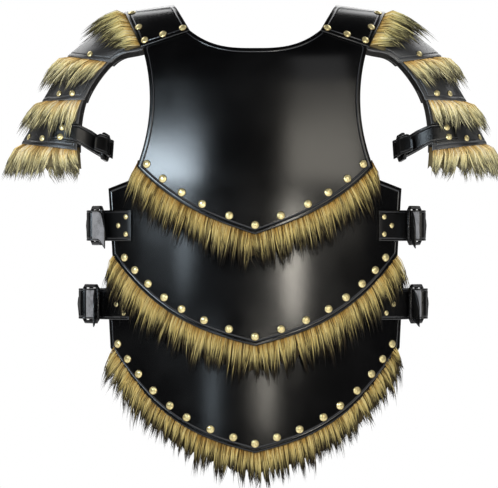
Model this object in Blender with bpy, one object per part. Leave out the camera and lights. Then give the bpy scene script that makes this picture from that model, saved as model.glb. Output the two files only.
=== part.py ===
"""Leather armour jacket: breast and back plates with two hanging lames each,
shoulder yokes, three arm lames a side, strips of fur under every lower edge,
and buckled straps at the sides and round the arms.

Metres, +Z up. The front faces -Y and +X is to the right. The origin is midway
between the shoulders, level with the crest that the yokes rest on.
"""

import math
import random

import bmesh
import bpy
from mathutils import Vector

# Leather, fur and clearances
LEATHER_WALL = 0.0032
FUR_BACKING = 0.003
LAY_GAP = 0.0008
LAYER = LEATHER_WALL + FUR_BACKING + 2 * LAY_GAP

# Torso form, which the outer face of the breastplate follows
BODY_DROP = 0.624
TORSO_HALF_WIDTH = 0.250
FRONT_DEPTH = 0.134
BACK_DEPTH = 0.112
TORSO_SQUARENESS = 2.2
SHOULDER_RISE = 0.110
CREST_SLOPE = 0.14

# Breastplate and back plate
NECK_HALF_WIDTH = 0.093
NECK_SCOOP = 0.062
NECK_RISE = 0.028
TAB_TOP = 0.022
TAB_HALF_WIDTH = 0.150
TAB_SLOPE = 0.43
ARMHOLE_HALF_WIDTH = 0.147
ARMHOLE_DEPTH = 0.018
ARMHOLE_MIDDLE = 0.133
ARMHOLE_FOOT = 0.227
BREAST_TIP = 0.3215
BREAST_STRAIGHTNESS = 0.58

# Lames of the body: the half width, and the corner, tip and straightness of
# each lower edge
BELLY_HALF_WIDTH = 0.206
BELLY_CORNER = 0.351
BELLY_TIP = 0.476
BELLY_STRAIGHTNESS = 0.42
HIP_HALF_WIDTH = 0.209
HIP_CORNER = 0.480
HIP_STRAIGHTNESS = 0.37
BODY_LAP = 0.035
LAME_SHOULDER = 0.030
LAME_SHOULDER_SLOPE = 0.37
LAME_TAPER = 0.006

# Yokes over the shoulders
YOKE_INNER_CREST = 0.114
YOKE_INNER_FOOT = 0.091
YOKE_OUTER_CREST = 0.185
YOKE_OUTER_FOOT = 0.160
YOKE_INNER_SPREAD = math.radians(51)
YOKE_OUTER_SPREAD = math.radians(62)

# Arms, measured from the outer foot of the yoke
ARM_REACH = {"left": 0.171, "right": 0.169}
ARM_DROP = 0.200
ARM_HALF_DEPTH = 0.064
ARM_SPREAD = math.radians(100)
ARM_LAP = 0.28
ARM_YOKE_LAP = 0.20

# Fur strips
FUR_LENGTH = 0.043
HEM_FUR_LENGTH = 0.044
ARM_FUR_LENGTHS = {"yoke": 0.054, "upper": 0.050, "middle": 0.045, "lower": 0.046}
FUR_LAP = 0.012
FUR_BULGE = 0.007
FUR_TIP = 0.0012
ARM_FUR_FLARE = 0.008
FUR_LEAN = 0.38
FUR_OVERHANG = 1.015
YOKE_FUR_SPAN = 0.88
LOCK_WIDTH = 0.026
LOCK_SEED = 11

# Columns round the yokes, the arm lames and their fur
ARM_COLUMNS = 16

# Straps and buckles
SIDE_STRAP_WIDTH = 0.043
ARM_STRAP_WIDTH = 0.026
ARM_STRAP_PLACE = 2.66
ARM_STRAP_SAG = 0.022
STRAP_WALL = 0.003
STRAP_LAP = 0.044
BUCKLE_BAR = 0.005
BUCKLE_GAP = 0.0006
BUCKLE_SPACING = 0.017
STRAP_RETURN = 0.037
STRAP_FOLD = 0.020
SIDE_STRAP_DROOP = 0.014
ARM_STRAP_DROOP = 0.003
UPPER_STRAP_HEIGHT = -0.309
LOWER_STRAP_HEIGHT = -0.419

# How far down the body each section lies, then its half width, front depth
# and back depth, as shares of BODY_DROP, TORSO_HALF_WIDTH, FRONT_DEPTH and
# BACK_DEPTH
TORSO_SECTIONS = (
    (0.000, 0.860, 0.880, 0.890),
    (0.175, 0.880, 0.890, 0.900),
    (0.370, 0.945, 0.985, 1.000),
    (0.510, 0.960, 1.000, 0.965),
    (0.750, 0.985, 1.045, 1.000),
    (1.000, 1.000, 1.100, 1.070),
    (1.150, 1.000, 1.120, 1.090),
)

# Lower edge of each arm lame and of the last fur: its outer point, its front
# corner and its depth, as shares of ARM_REACH, ARM_DROP and ARM_HALF_DEPTH
ARM_STATIONS = (
    # outer x, outer drop, corner x, corner drop, depth
    (0.62, 0.345, 0.24, 0.405, 0.96),
    (0.83, 0.665, 0.46, 0.665, 1.00),
    (1.00, 0.965, 0.52, 1.020, 1.04),
    (1.09, 1.245, 0.47, 1.280, 1.08),
)

# Where the columns of a body plate lie, as shares of its half width
PLATE_COLUMNS = (0, 0.16, 0.32, 0.46, 0.58, 0.70, 0.79, 0.87, 0.94, 1)

SIDES = {"left": -1, "right": 1}


def clear_scene():
    """Remove whatever the file opened with."""
    for thing in list(bpy.data.objects):
        bpy.data.objects.remove(thing, do_unlink=True)


def material(name, colour, roughness, metallic=0.0):
    """A plain Principled material."""
    made = bpy.data.materials.new(name)
    made.use_nodes = True
    shader = made.node_tree.nodes["Principled BSDF"]
    shader.inputs["Base Color"].default_value = (*colour, 1)
    shader.inputs["Roughness"].default_value = roughness
    shader.inputs["Metallic"].default_value = metallic
    return made


def leather():
    """Black semi-gloss leather."""
    return material("black_leather", (0.012, 0.012, 0.014), 0.35)


def strap_leather():
    """Black strap leather, a little duller."""
    return material("strap_leather", (0.016, 0.015, 0.015), 0.45)


def fur():
    """Golden fur."""
    return material("golden_fur", (0.42, 0.30, 0.13), 0.8)


def black_metal():
    """Black plated buckle metal."""
    return material("black_metal", (0.02, 0.02, 0.022), 0.3, 0.9)


def blend(start, end, share):
    """The value or point that lies this share of the way along."""
    return start + (end - start) * share


def table_row(table, place):
    """A row of a table read at a place in its first column, on a smooth curve."""
    last = len(table) - 2
    index = min(max(sum(1 for row in table if row[0] <= place) - 1, 0), last)
    before, low, high, after = (table[max(index - 1, 0)], table[index],
                                table[index + 1], table[min(index + 2, last + 1)])
    span = high[0] - low[0]
    share = min(max((place - low[0]) / span, 0), 1)
    values = []
    for column in range(1, len(low)):
        rise_low = (high[column] - before[column]) / (high[0] - before[0]) * span
        rise_high = (after[column] - low[column]) / (after[0] - low[0]) * span
        values.append(hermite(low[column], rise_low, high[column], rise_high, share))
    return values


def hermite(start, leave, end, arrive, share):
    """A cubic from start to end with the given slopes at its ends."""
    square = share * share
    cube = square * share
    return (start * (2 * cube - 3 * square + 1) + leave * (cube - 2 * square + share)
            + end * (3 * square - 2 * cube) + arrive * (cube - square))


def bezier(points, share):
    """A cubic Bezier curve through four control points."""
    rest = 1 - share
    first, second, third, fourth = points
    return (first * rest ** 3 + second * (3 * rest * rest * share)
            + third * (3 * rest * share * share) + fourth * share ** 3)


def crest_height(x):
    """Height of the shoulder's crest above x."""
    return -CREST_SLOPE * (abs(x) - YOKE_INNER_CREST)


def torso_section(z):
    """Half width, front depth and back depth of the torso at a height."""
    half, front, back = table_row(TORSO_SECTIONS, -z / BODY_DROP)
    return half * TORSO_HALF_WIDTH, front * FRONT_DEPTH, back * BACK_DEPTH


def roundness(x, half_width):
    """How much of its full depth the torso keeps at x."""
    share = min(abs(x) / half_width, 0.995)
    return (1 - share ** TORSO_SQUARENESS) ** (1 / TORSO_SQUARENESS)


def torso_depth(x, z, back):
    """Depth of the torso's surface in front of, or behind, the middle plane."""
    half, front_depth, back_depth = torso_section(min(z, -SHOULDER_RISE))
    depth = (back_depth if back else front_depth) * roundness(x, half)
    if z <= -SHOULDER_RISE:
        return depth
    climb = min((z + SHOULDER_RISE) / (crest_height(x) + SHOULDER_RISE), 0.995)
    return depth * math.sqrt(1 - climb * climb)


def torso_skin(x, z, lift, back):
    """A point lifted off the torso's surface, and the normal there."""
    step = 0.001
    depth = torso_depth(x, z, back)
    across = (torso_depth(x + step, z, back) - torso_depth(x - step, z, back)) / (2 * step)
    down = (torso_depth(x, z + step, back) - torso_depth(x, z - step, back)) / (2 * step)
    way = 1 if back else -1
    steepness = math.sqrt(1 + across * across + down * down)
    point = Vector((x, way * (depth + lift * steepness), z))
    return point, Vector((-across, way, -down)).normalized()


def v_edge(x, half_width, tip, corner, straightness):
    """Height of a lower edge that rises from its tip to a corner at each side."""
    share = abs(x) / half_width
    rise = straightness * share + (1 - straightness) * share ** 3
    return -tip + (tip - corner) * rise


def breast_half_width(z):
    """Half width of the breastplate between the armholes."""
    reach = (z + ARMHOLE_MIDDLE) / (ARMHOLE_FOOT - ARMHOLE_MIDDLE)
    return min(ARMHOLE_HALF_WIDTH + ARMHOLE_DEPTH * reach * reach, ARMHOLE_HALF_WIDTH + ARMHOLE_DEPTH)


def breast_half_width_hidden(z):
    """The same, with the shoulder tab drawn in where the yoke covers it."""
    tab_foot = -NECK_SCOOP
    if z <= tab_foot:
        return breast_half_width(z)
    share = min((z - tab_foot) / (NECK_SCOOP - TAB_TOP), 1)
    return blend(breast_half_width(tab_foot), TAB_HALF_WIDTH - ARMHOLE_DEPTH, share)


def breast_edge(x):
    """Lower edge of the breastplate."""
    return v_edge(x, ARMHOLE_HALF_WIDTH + ARMHOLE_DEPTH, BREAST_TIP, ARMHOLE_FOOT,
                  BREAST_STRAIGHTNESS)


def belly_edge(x):
    """Lower edge of the belly lame."""
    return v_edge(x, BELLY_HALF_WIDTH - LAME_TAPER, BELLY_TIP, BELLY_CORNER,
                  BELLY_STRAIGHTNESS)


def hip_edge(x):
    """Lower edge of the hip lame."""
    return v_edge(x, HIP_HALF_WIDTH - LAME_TAPER, BODY_DROP, HIP_CORNER, HIP_STRAIGHTNESS)


def breast_top(x):
    """Neckline, and the top of the shoulder tab beside it."""
    neckline = -NECK_SCOOP + NECK_RISE * (abs(x) / NECK_HALF_WIDTH) ** 3
    tab = -TAB_TOP - TAB_SLOPE * (abs(x) - NECK_HALF_WIDTH - LAME_TAPER * 2)
    return min(neckline, tab)


def lame_top(x, edge_above, half_width, corner_above):
    """Top of a lame: lapped under the plate above, and sloped at its sides."""
    side = corner_above - LAME_SHOULDER + LAME_SHOULDER_SLOPE * (half_width - abs(x))
    return min(edge_above(x) + BODY_LAP, side)


def breast_place(across, down):
    """Where a point of the breastplate lies, from shares across and down."""
    z_top = -NECK_SCOOP
    for _ in range(6):
        z_top = breast_top(across * breast_half_width_hidden(z_top))
    z_foot = breast_edge(across * (ARMHOLE_HALF_WIDTH + ARMHOLE_DEPTH))
    z = blend(z_top, z_foot, down)
    return across * breast_half_width_hidden(z), z


def lame_place(across, down, edge_above, edge, half_width, corner_above):
    """Where a point of a body lame lies, from shares across and down."""
    x = across * (half_width - LAME_TAPER * down)
    return x, blend(lame_top(x, edge_above, half_width, corner_above), edge(x), down)


def belly_place(across, down):
    """Where a point of the belly lame lies."""
    return lame_place(across, down, breast_edge, belly_edge, BELLY_HALF_WIDTH, -ARMHOLE_FOOT)


def hip_place(across, down):
    """Where a point of the hip lame lies."""
    return lame_place(across, down, belly_edge, hip_edge, HIP_HALF_WIDTH, -BELLY_CORNER)


def finish_object(name, bm, surface):
    """Close a bmesh into a named object with its material."""
    bmesh.ops.recalc_face_normals(bm, faces=bm.faces)
    if bm.calc_volume(signed=True) < 0:
        bmesh.ops.reverse_faces(bm, faces=bm.faces)
    mesh = bpy.data.meshes.new(name)
    bm.to_mesh(mesh)
    bm.free()
    mesh.materials.append(surface)
    mesh.shade_smooth()
    mesh.set_sharp_from_angle(angle=math.radians(40))
    made = bpy.data.objects.new(name, mesh)
    bpy.context.scene.collection.objects.link(made)
    return made


def sheet(name, columns, rows, outer, inner, surface):
    """A curved wall: a grid extruded into a solid, its two faces then laid on
    outer and inner, which give a point for a column and a row.
    """
    bm = bmesh.new()
    bmesh.ops.create_grid(bm, x_segments=columns, y_segments=rows, size=0.5)
    inside = list(bm.verts)
    made = bmesh.ops.extrude_face_region(bm, geom=bm.faces[:])
    outside = [item for item in made["geom"] if isinstance(item, bmesh.types.BMVert)]
    for verts, face in ((inside, inner), (outside, outer)):
        for vert in verts:
            column = round((vert.co.x + 0.5) * columns)
            row = round((0.5 - vert.co.y) * rows)
            vert.co = face(column, row)
    return finish_object(name, bm, surface)


def body_plate(name, place, rows, inset, back, surface):
    """A plate or lame that lies on the torso, inset from its outer layer."""
    columns = [-share for share in reversed(PLATE_COLUMNS[1:])] + list(PLATE_COLUMNS)

    def face(wall):
        def point(column, row):
            x, z = place(columns[column], row / rows)
            outer, normal = torso_skin(x, z, -inset, back)
            return outer - normal * wall
        return point

    return sheet(name, len(columns) - 1, rows, face(0), face(LEATHER_WALL), surface)


def lock_lengths(count, length, seed):
    """Length at each column of a fur strip: tips and valleys by turns."""
    draw = random.Random(seed)
    lengths = []
    for column in range(count + 1):
        tip = column % 2 == 0
        share = draw.uniform(0.88, 1.14) if tip else draw.uniform(0.60, 0.76)
        lengths.append(length * share)
    return lengths


def fur_rows(length, column):
    """Each row of a fur strip: how far it lies below the edge above it, how far
    its outer face stands above the outer face of the leather above, and its
    share of the flare. A bulge of None means that the row is under leather.
    """
    bulge = FUR_BULGE if column % 2 == 0 else FUR_BULGE * 0.45
    return ((-FUR_LAP, None, 0.04), (LAY_GAP * 2, None, 0.25), (length * 0.38, bulge, 0.65),
            (length, 0, 1))


def fur_lifts(row, inset_above, inset_below, flare):
    """Outer and inner lift of a fur row between two layers of leather."""
    bulge, share = row[1], row[2]
    inner = LAY_GAP - inset_below + flare * share
    if bulge is None:
        return -(inset_above + LEATHER_WALL + LAY_GAP * 1.4), inner
    if share == 1:
        return inner + FUR_TIP, inner
    return bulge - inset_above, inner


def body_fur(name, edge, half_width, inset, back, length, surface, seed):
    """A strip of fur under the lower edge of a plate, cut into locks."""
    count = 2 * round(half_width * 2.4 / LOCK_WIDTH)
    lengths = lock_lengths(count, length, seed)

    def face(lift_index):
        def point(column, row):
            x = half_width * FUR_OVERHANG * (2 * column / count - 1)
            slope = (edge(x + LAY_GAP) - edge(x - LAY_GAP)) / (2 * LAY_GAP)
            lean = FUR_LEAN * math.atan(slope)
            fur_row = fur_rows(lengths[column], column)[row]
            away = fur_row[0]
            lifts = fur_lifts(fur_row, inset, inset + LAYER, STRAP_WALL + 4 * LAY_GAP)
            return torso_skin(x + away * math.sin(lean), edge(x) - away * math.cos(lean),
                              lifts[lift_index], back)[0]
        return point

    return sheet(name, count, 3, face(0), face(1), surface)


def yoke_edge(crest, foot, spread, angle):
    """How far out a yoke's edge lies at an angle over the shoulder."""
    share = (math.cos(angle) - math.cos(spread)) / (1 - math.cos(spread))
    return blend(foot, crest, share)


def shoulder_point(along, around):
    """A point on the yoke's outer face, from its inner edge (-1) to its outer
    edge (0) and from the front (-1) to the back (1), on the right shoulder.
    """
    angle = around * blend(YOKE_INNER_SPREAD, YOKE_OUTER_SPREAD, along + 1)
    inner = yoke_edge(YOKE_INNER_CREST, YOKE_INNER_FOOT, YOKE_INNER_SPREAD, around * YOKE_INNER_SPREAD)
    outer = yoke_edge(YOKE_OUTER_CREST, YOKE_OUTER_FOOT, YOKE_OUTER_SPREAD, around * YOKE_OUTER_SPREAD)
    x = blend(inner, outer, along + 1)
    lift = LEATHER_WALL + LAY_GAP
    half, front_depth, back_depth = torso_section(-SHOULDER_RISE)
    depth = (front_depth if around < 0 else back_depth) * roundness(x, half) + lift
    return Vector((x, depth * math.sin(angle),
                   -SHOULDER_RISE + (crest_height(x) + SHOULDER_RISE + lift) * math.cos(angle)))


def arm_station(index, around, side):
    """A point on the lower edge of an arm lame, from its front to its back."""
    reach, drop = ARM_REACH[side], ARM_DROP
    outer_x, outer_z, corner_x, corner_z, depth = ARM_STATIONS[index - 1]
    outer = Vector((YOKE_OUTER_FOOT + outer_x * reach, 0, -outer_z * drop))
    corner = Vector((YOKE_OUTER_FOOT + corner_x * reach, 0, -corner_z * drop))
    radius = (outer - corner) / (1 - math.cos(ARM_SPREAD))
    centre = outer - radius
    angle = around * ARM_SPREAD
    return (centre + radius * math.cos(angle)
            + Vector((0, depth * ARM_HALF_DEPTH * math.sin(angle), 0)))


def sleeve_base(along, around, side):
    """The outer face of yoke and arm: along is -1 to 0 over the yoke and then
    counts the lower edges of the arm lames, 1 to 3, with the last fur at 4.
    """
    if along <= 0:
        return shoulder_point(along, around)
    index = min(int(along), len(ARM_STATIONS) - 1)

    def station(number):
        if number < 0:
            return shoulder_point(-1, around)
        if number == 0:
            return shoulder_point(0, around)
        return arm_station(min(number, len(ARM_STATIONS)), around, side)

    start, end = station(index), station(index + 1)
    leave = (end - station(index - 1)) / 2
    arrive = (station(index + 2) - start) / 2
    return hermite(start, leave, end, arrive, along - index)


def sleeve_point(along, around, lift, side):
    """A point lifted off the sleeve, on its own side of the body."""
    step = 0.03
    base = sleeve_base(along, around, side)
    outward = (sleeve_base(along + step, around, side) - sleeve_base(along - step, around, side))
    round_arm = (sleeve_base(along, around + step, side) - sleeve_base(along, around - step, side))
    point = base + outward.cross(round_arm).normalized() * lift
    point.x *= SIDES[side]
    return point


def lame_inset(number, along):
    """How deep the outer face of a lame lies under the sleeve's outer face."""
    return LAYER * (number - max(along, 0)) if number else 0


def arm_lame(name, number, side, surface):
    """One lame of the arm. The first reaches under the yoke."""
    columns, rows = ARM_COLUMNS, 3

    def face(wall):
        def point(column, row):
            around = 2 * column / columns - 1
            top = -ARM_YOKE_LAP * (1 - around * around) if number == 1 else number - 1 - ARM_LAP
            along = blend(top, number, row / rows)
            return sleeve_point(along, around, -lame_inset(number, along) - wall, side)
        return point

    return sheet(name, columns, rows, face(0), face(LEATHER_WALL), surface)


def yoke(name, side, surface):
    """The strap of leather over one shoulder."""
    columns, rows = ARM_COLUMNS, 4

    def face(wall):
        def point(column, row):
            return sleeve_point(row / rows - 1, 2 * column / columns - 1, -wall, side)
        return point

    return sheet(name, columns, rows, face(0), face(LEATHER_WALL), surface)


def arm_fur(name, number, side, length, surface, seed):
    """A strip of fur under the lower edge of a lame, or of the yoke for 0."""
    pace = (sleeve_base(number + 0.11, 0, side) - sleeve_base(number + 0.01, 0, side)).length * 10
    span = FUR_OVERHANG if number else YOKE_FUR_SPAN
    lengths = lock_lengths(ARM_COLUMNS, length, seed)

    def face(lift_index):
        def point(column, row):
            around = span * (2 * column / ARM_COLUMNS - 1)
            fur_row = fur_rows(lengths[column], column)[row]
            along = number + fur_row[0] / pace
            lifts = fur_lifts(fur_row, lame_inset(number, min(along, number)),
                              lame_inset(number + 1, along), ARM_FUR_FLARE)
            return sleeve_point(along, around, lifts[lift_index], side)
        return point

    return sheet(name, ARM_COLUMNS, 3, face(0), face(1), surface)


def ribbon(name, edges, wall, surface):
    """A strap between two edges, each a list of points along it."""
    count = len(edges[0]) - 1

    def face(way):
        def point(column, row):
            here = edges[row][column]
            ahead = edges[row][min(column + 1, count)] - edges[row][max(column - 1, 0)]
            across = edges[1][column] - edges[0][column]
            return here + ahead.cross(across).normalized() * (way * wall / 2)
        return point

    return sheet(name, count, 1, face(1), face(-1), surface)


class Closure:
    """Two straps and a buckle that close a gap between a front and a back
    piece. Each lap is a function of a share along the strap's end, 0 at its
    inner end and 1 at the edge that it leaves, and of a share across it.
    """

    def __init__(self, front_lap, back_lap, handles, sag, frame_start):
        self.front_lap = front_lap
        self.back_lap = back_lap
        self.handles = handles
        self.sag = sag
        self.frame_start = frame_start
        self.turn = BUCKLE_BAR * math.sqrt(0.5) + BUCKLE_GAP + STRAP_WALL / 2
        self.outward = 1
        near = self.curve(frame_start, 0.5)
        if self.normal(frame_start).dot(near - self.inside()) < 0:
            self.outward = -1
        self.near = near + self.normal(frame_start) * self.turn
        further = frame_start + 0.22
        aim = self.curve(further, 0.5) + self.normal(further) * self.turn
        self.way = (aim - self.near).normalized()
        self.width = (self.curve(0, 1) - self.curve(0, 0)).normalized()
        self.out = self.way.cross(self.width).normalized() * self.outward

    def inside(self):
        """A point well inside the loop that the straps close."""
        return (self.front_lap(0, 0.5) + self.back_lap(0, 0.5)) / 2

    def curve(self, share, across):
        """The middle of the free straps, from the front edge to the back edge."""
        front, back = self.front_lap(1, across), self.back_lap(1, across)
        leave = (front - self.front_lap(0.9, across)).normalized() * self.handles[0]
        arrive = (back - self.back_lap(0.9, across)).normalized() * self.handles[1]
        drop = Vector((0, 0, -self.sag))
        return bezier((front, front + leave + drop, back + arrive + drop, back), share)

    def normal(self, share):
        """Which way is out of the loop at a share along the curve."""
        step = 0.02
        ahead = self.curve(share + step, 0.5) - self.curve(share - step, 0.5)
        across = self.curve(share, 1) - self.curve(share, 0)
        return ahead.cross(across).normalized() * self.outward

    def bar(self, number):
        """The middle of one of the frame's three bars, near to far."""
        return self.near + self.way * (BUCKLE_SPACING * number)

    def edge_offset(self, across, width):
        """From the middle of the strap to one of its edges."""
        return self.width * ((across - 0.5) * width)

    def turn_round(self, centre, way, across, width):
        """Half a turn round a bar, from inside it to outside it."""
        steps = 4
        points = []
        for step in range(steps + 1):
            angle = math.pi * step / steps
            reach = -self.out * math.cos(angle) + way * math.sin(angle)
            points.append(centre + reach * self.turn + self.edge_offset(across, width))
        return points

    def front_strap(self, width, droop):
        """The edges of the front strap, doubled back round the middle bar so that
        its end lies over the strap itself.
        """
        edges = []
        home = (self.curve(0, 0.5) - self.curve(self.frame_start, 0.5)).normalized()
        rise = self.width.cross(home).normalized() * self.outward
        for across in (0, 1):
            points = [self.front_lap(step / 3, across) for step in range(4)]
            points.append(self.curve(self.frame_start * 0.5, across))
            points.append(self.near - self.out * self.turn + self.edge_offset(across, width))
            points += self.turn_round(self.bar(1), self.way, across, width)
            for step in range(3):
                share = step / 2
                back = self.near + home * (STRAP_RETURN - BUCKLE_SPACING) * share
                lift = blend(self.out, rise, min(2 * share, 1)).normalized() * self.turn * 1.15
                tip = 0.62 if step == 2 else 1
                points.append(back + lift + self.edge_offset(across, width * tip)
                              - self.width * (droop * share * share))
            edges.append(points)
        return edges

    def back_strap(self, width):
        """The edges of the back strap, folded round the far bar."""
        edges = []
        far = self.bar(2)
        share_far = self.frame_start + 0.30
        for across in (0, 1):
            points = [self.back_lap(step / 3, across) for step in range(4)]
            for step in (1, 2, 3):
                points.append(self.curve(blend(1, share_far + 0.05, step / 4), across))
            points.append(far + self.way * (STRAP_FOLD * 0.5) - self.out * self.turn
                          + self.edge_offset(across, width))
            points += self.turn_round(far, -self.way, across, width)
            points.append(far + self.way * (STRAP_FOLD * 0.5) + self.out * self.turn * 0.9
                          + self.edge_offset(across, width))
            edges.append(points)
        return edges

    def frame(self, name, width, surface):
        """The buckle: a flat frame of three bars with rounded corners."""
        bar = BUCKLE_BAR / 2
        stops = [-bar, bar, BUCKLE_SPACING - bar, BUCKLE_SPACING + bar,
                 2 * BUCKLE_SPACING - bar, 2 * BUCKLE_SPACING + bar]
        half = width / 2 + BUCKLE_BAR + BUCKLE_GAP * 2
        rows = [-half, -half + BUCKLE_BAR, half - BUCKLE_BAR, half]
        bm = bmesh.new()
        bmesh.ops.create_grid(bm, x_segments=5, y_segments=3, size=0.5)
        places = {}
        for vert in bm.verts:
            column, row = round((vert.co.x + 0.5) * 5), round((vert.co.y + 0.5) * 3)
            places[vert] = (column, row)
        windows = []
        for face in bm.faces:
            columns = {places[vert][0] for vert in face.verts}
            face_rows = {places[vert][1] for vert in face.verts}
            if face_rows == {1, 2} and columns in ({1, 2}, {3, 4}):
                windows.append(face)
        bmesh.ops.delete(bm, geom=windows, context="FACES")
        for vert, (column, row) in places.items():
            along, across = stops[column], rows[row]
            if column in (0, 5) and row in (0, 3):
                along += BUCKLE_BAR * 0.6 * (1 if column == 0 else -1)
                across *= 1 - BUCKLE_BAR * 0.6 / half
            vert.co = (self.near + self.way * along + self.width * across
                       - self.out * bar)
        made = bmesh.ops.extrude_face_region(bm, geom=bm.faces[:])
        raised = [item for item in made["geom"] if isinstance(item, bmesh.types.BMVert)]
        bmesh.ops.translate(bm, verts=raised, vec=self.out * BUCKLE_BAR)
        return finish_object(name, bm, surface)


def side_closure(side, height, inset, half_width, slack):
    """The closure of one side of the body at one height."""
    way = SIDES[side]
    lift = LAY_GAP + STRAP_WALL / 2 - inset

    def lap(back):
        def point(share, across):
            z = height + (across - 0.5) * SIDE_STRAP_WIDTH
            x = half_width - STRAP_LAP * 0.76 * (1 - share)
            return torso_skin(way * x, z, lift, back)[0]
        return point

    return Closure(lap(False), lap(True), (slack, slack * 0.35), 0.0, 0.04)


def arm_closure(side, slack):
    """The closure of one arm, on its lowest lame."""
    pace = (sleeve_base(3, -1, side) - sleeve_base(2.2, -1, side)).length / 0.8
    lift = LAY_GAP + STRAP_WALL / 2

    def lap(way):
        def point(share, across):
            along = ARM_STRAP_PLACE - (across - 0.5) * ARM_STRAP_WIDTH / pace
            around = way * blend(0.68, 0.995, share)
            return sleeve_point(along, around, lift - lame_inset(3, along), side)
        return point

    return Closure(lap(-1), lap(1), (slack, slack * 0.8), ARM_STRAP_SAG, 0.26)


def build_front_and_back():
    """Plates, lames and fur of the body."""
    hide, trim = leather(), fur()
    names = {
        False: ("breastplate", "belly_lame", "hip_lame", "breast_fur", "belly_fur", "hip_fur"),
        True: ("back_plate", "back_belly_lame", "back_hip_lame",
               "back_fur", "back_belly_fur", "back_hip_fur"),
    }
    for back, (plate, belly, hip, plate_fur, belly_fur, hip_fur) in names.items():
        body_plate(plate, breast_place, 6, 0, back, hide)
        body_plate(belly, belly_place, 3, LAYER, back, hide)
        body_plate(hip, hip_place, 3, 2 * LAYER, back, hide)
        seed = LOCK_SEED + 10 * back
        body_fur(plate_fur, breast_edge, ARMHOLE_HALF_WIDTH + ARMHOLE_DEPTH, 0, back,
                 FUR_LENGTH, trim, seed)
        body_fur(belly_fur, belly_edge, BELLY_HALF_WIDTH - LAME_TAPER, LAYER, back,
                 FUR_LENGTH, trim, seed + 1)
        body_fur(hip_fur, hip_edge, HIP_HALF_WIDTH - LAME_TAPER, 2 * LAYER, back,
                 HEM_FUR_LENGTH, trim, seed + 2)


def build_shoulder(side):
    """Yoke, arm lames and their fur on one side."""
    hide, trim = leather(), fur()
    yoke("yoke_" + side, side, hide)
    arm_fur("yoke_fur_" + side, 0, side, ARM_FUR_LENGTHS["yoke"], trim, LOCK_SEED + 3)
    for number, level in enumerate(("upper", "middle", "lower"), start=1):
        arm_lame("arm_lame_" + level + "_" + side, number, side, hide)
        arm_fur("arm_fur_" + level + "_" + side, number, side, ARM_FUR_LENGTHS[level], trim,
                LOCK_SEED + 3 + number)


def build_closure(closure, names, width, droop):
    """The front strap, the buckle and the back strap of a closure."""
    front, buckle, back = names
    hide = strap_leather()
    ribbon(front, closure.front_strap(width, droop), STRAP_WALL, hide)
    closure.frame(buckle, width, black_metal())
    ribbon(back, closure.back_strap(width), STRAP_WALL, hide)


def build_closures():
    """Two closures at each side of the body and one round each arm."""
    rows = (
        # side, level, height, inset, half width, slack
        ("left", "upper", UPPER_STRAP_HEIGHT, LAYER, BELLY_HALF_WIDTH, 0.050),
        ("right", "upper", UPPER_STRAP_HEIGHT, LAYER, BELLY_HALF_WIDTH, 0.066),
        ("left", "lower", LOWER_STRAP_HEIGHT, 2 * LAYER, HIP_HALF_WIDTH, 0.096),
        ("right", "lower", LOWER_STRAP_HEIGHT, 2 * LAYER, HIP_HALF_WIDTH, 0.066),
    )
    for side, level, height, inset, half_width, slack in rows:
        ending = "_" + level + "_" + side
        names = ("side_strap" + ending, "side_buckle" + ending, "back_strap" + ending)
        build_closure(side_closure(side, height, inset, half_width, slack), names,
                      SIDE_STRAP_WIDTH, SIDE_STRAP_DROOP)
    for side, slack in (("left", 0.054), ("right", 0.060)):
        names = ("arm_strap_" + side, "arm_buckle_" + side, "arm_back_strap_" + side)
        build_closure(arm_closure(side, slack), names, ARM_STRAP_WIDTH, ARM_STRAP_DROOP)


clear_scene()
build_front_and_back()
for shoulder in SIDES:
    build_shoulder(shoulder)
build_closures()
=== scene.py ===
"""Looks of the leather armour jacket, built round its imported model.

The jacket is a breast and a back plate with two hanging lames each, a yoke and
three lames over each shoulder and arm, fur under every lower edge, and buckled
straps. Metres, +Z up, the front faces -Y, and left and right are as seen in
the photograph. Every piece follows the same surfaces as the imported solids.
"""

import logging
import math
from abc import ABC, abstractmethod
from dataclasses import KW_ONLY, dataclass, replace
from enum import Enum
from functools import cache, cached_property, partial
from typing import Any, Callable, Sequence

import bmesh
import bpy
import numpy as np
from bmesh.types import BMesh
from bpy.types import Material
from mathutils import Matrix, Vector, noise

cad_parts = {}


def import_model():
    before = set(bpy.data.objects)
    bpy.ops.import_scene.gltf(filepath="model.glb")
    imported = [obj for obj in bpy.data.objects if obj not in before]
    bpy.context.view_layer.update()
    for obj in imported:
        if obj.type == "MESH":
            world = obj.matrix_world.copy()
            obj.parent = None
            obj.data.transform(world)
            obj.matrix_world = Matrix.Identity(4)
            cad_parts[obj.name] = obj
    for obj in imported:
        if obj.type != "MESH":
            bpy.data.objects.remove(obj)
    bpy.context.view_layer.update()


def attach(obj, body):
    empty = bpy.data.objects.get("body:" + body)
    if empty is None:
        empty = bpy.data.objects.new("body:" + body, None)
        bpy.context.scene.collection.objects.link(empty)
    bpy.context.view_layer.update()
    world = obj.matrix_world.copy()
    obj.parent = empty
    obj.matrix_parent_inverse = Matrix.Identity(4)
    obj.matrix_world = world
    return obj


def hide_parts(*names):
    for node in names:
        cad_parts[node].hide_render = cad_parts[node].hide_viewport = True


LOG = logging.getLogger("leather_jacket")
BODY = "root"
DRESSED = "_dressed"
STRAND_MAP = "OFBake"
# attribute that tells how far a place lies from a cut edge, and what it says
# on the creased line
EDGE = "edge"
LINE_MARK = 0.62
MM = 0.001

Colour = tuple[float, float, float]
Skin = tuple[Vector, Vector]
Arrays = tuple[np.ndarray, ...]
Pairs = Sequence[tuple[float, float]]


class Side(Enum):
    """A side of the jacket, as seen in the photograph."""

    LEFT = "left"
    RIGHT = "right"

    @property
    def sign(self) -> int:
        """Direction of this side along X."""
        return -1 if self is Side.LEFT else 1


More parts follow.
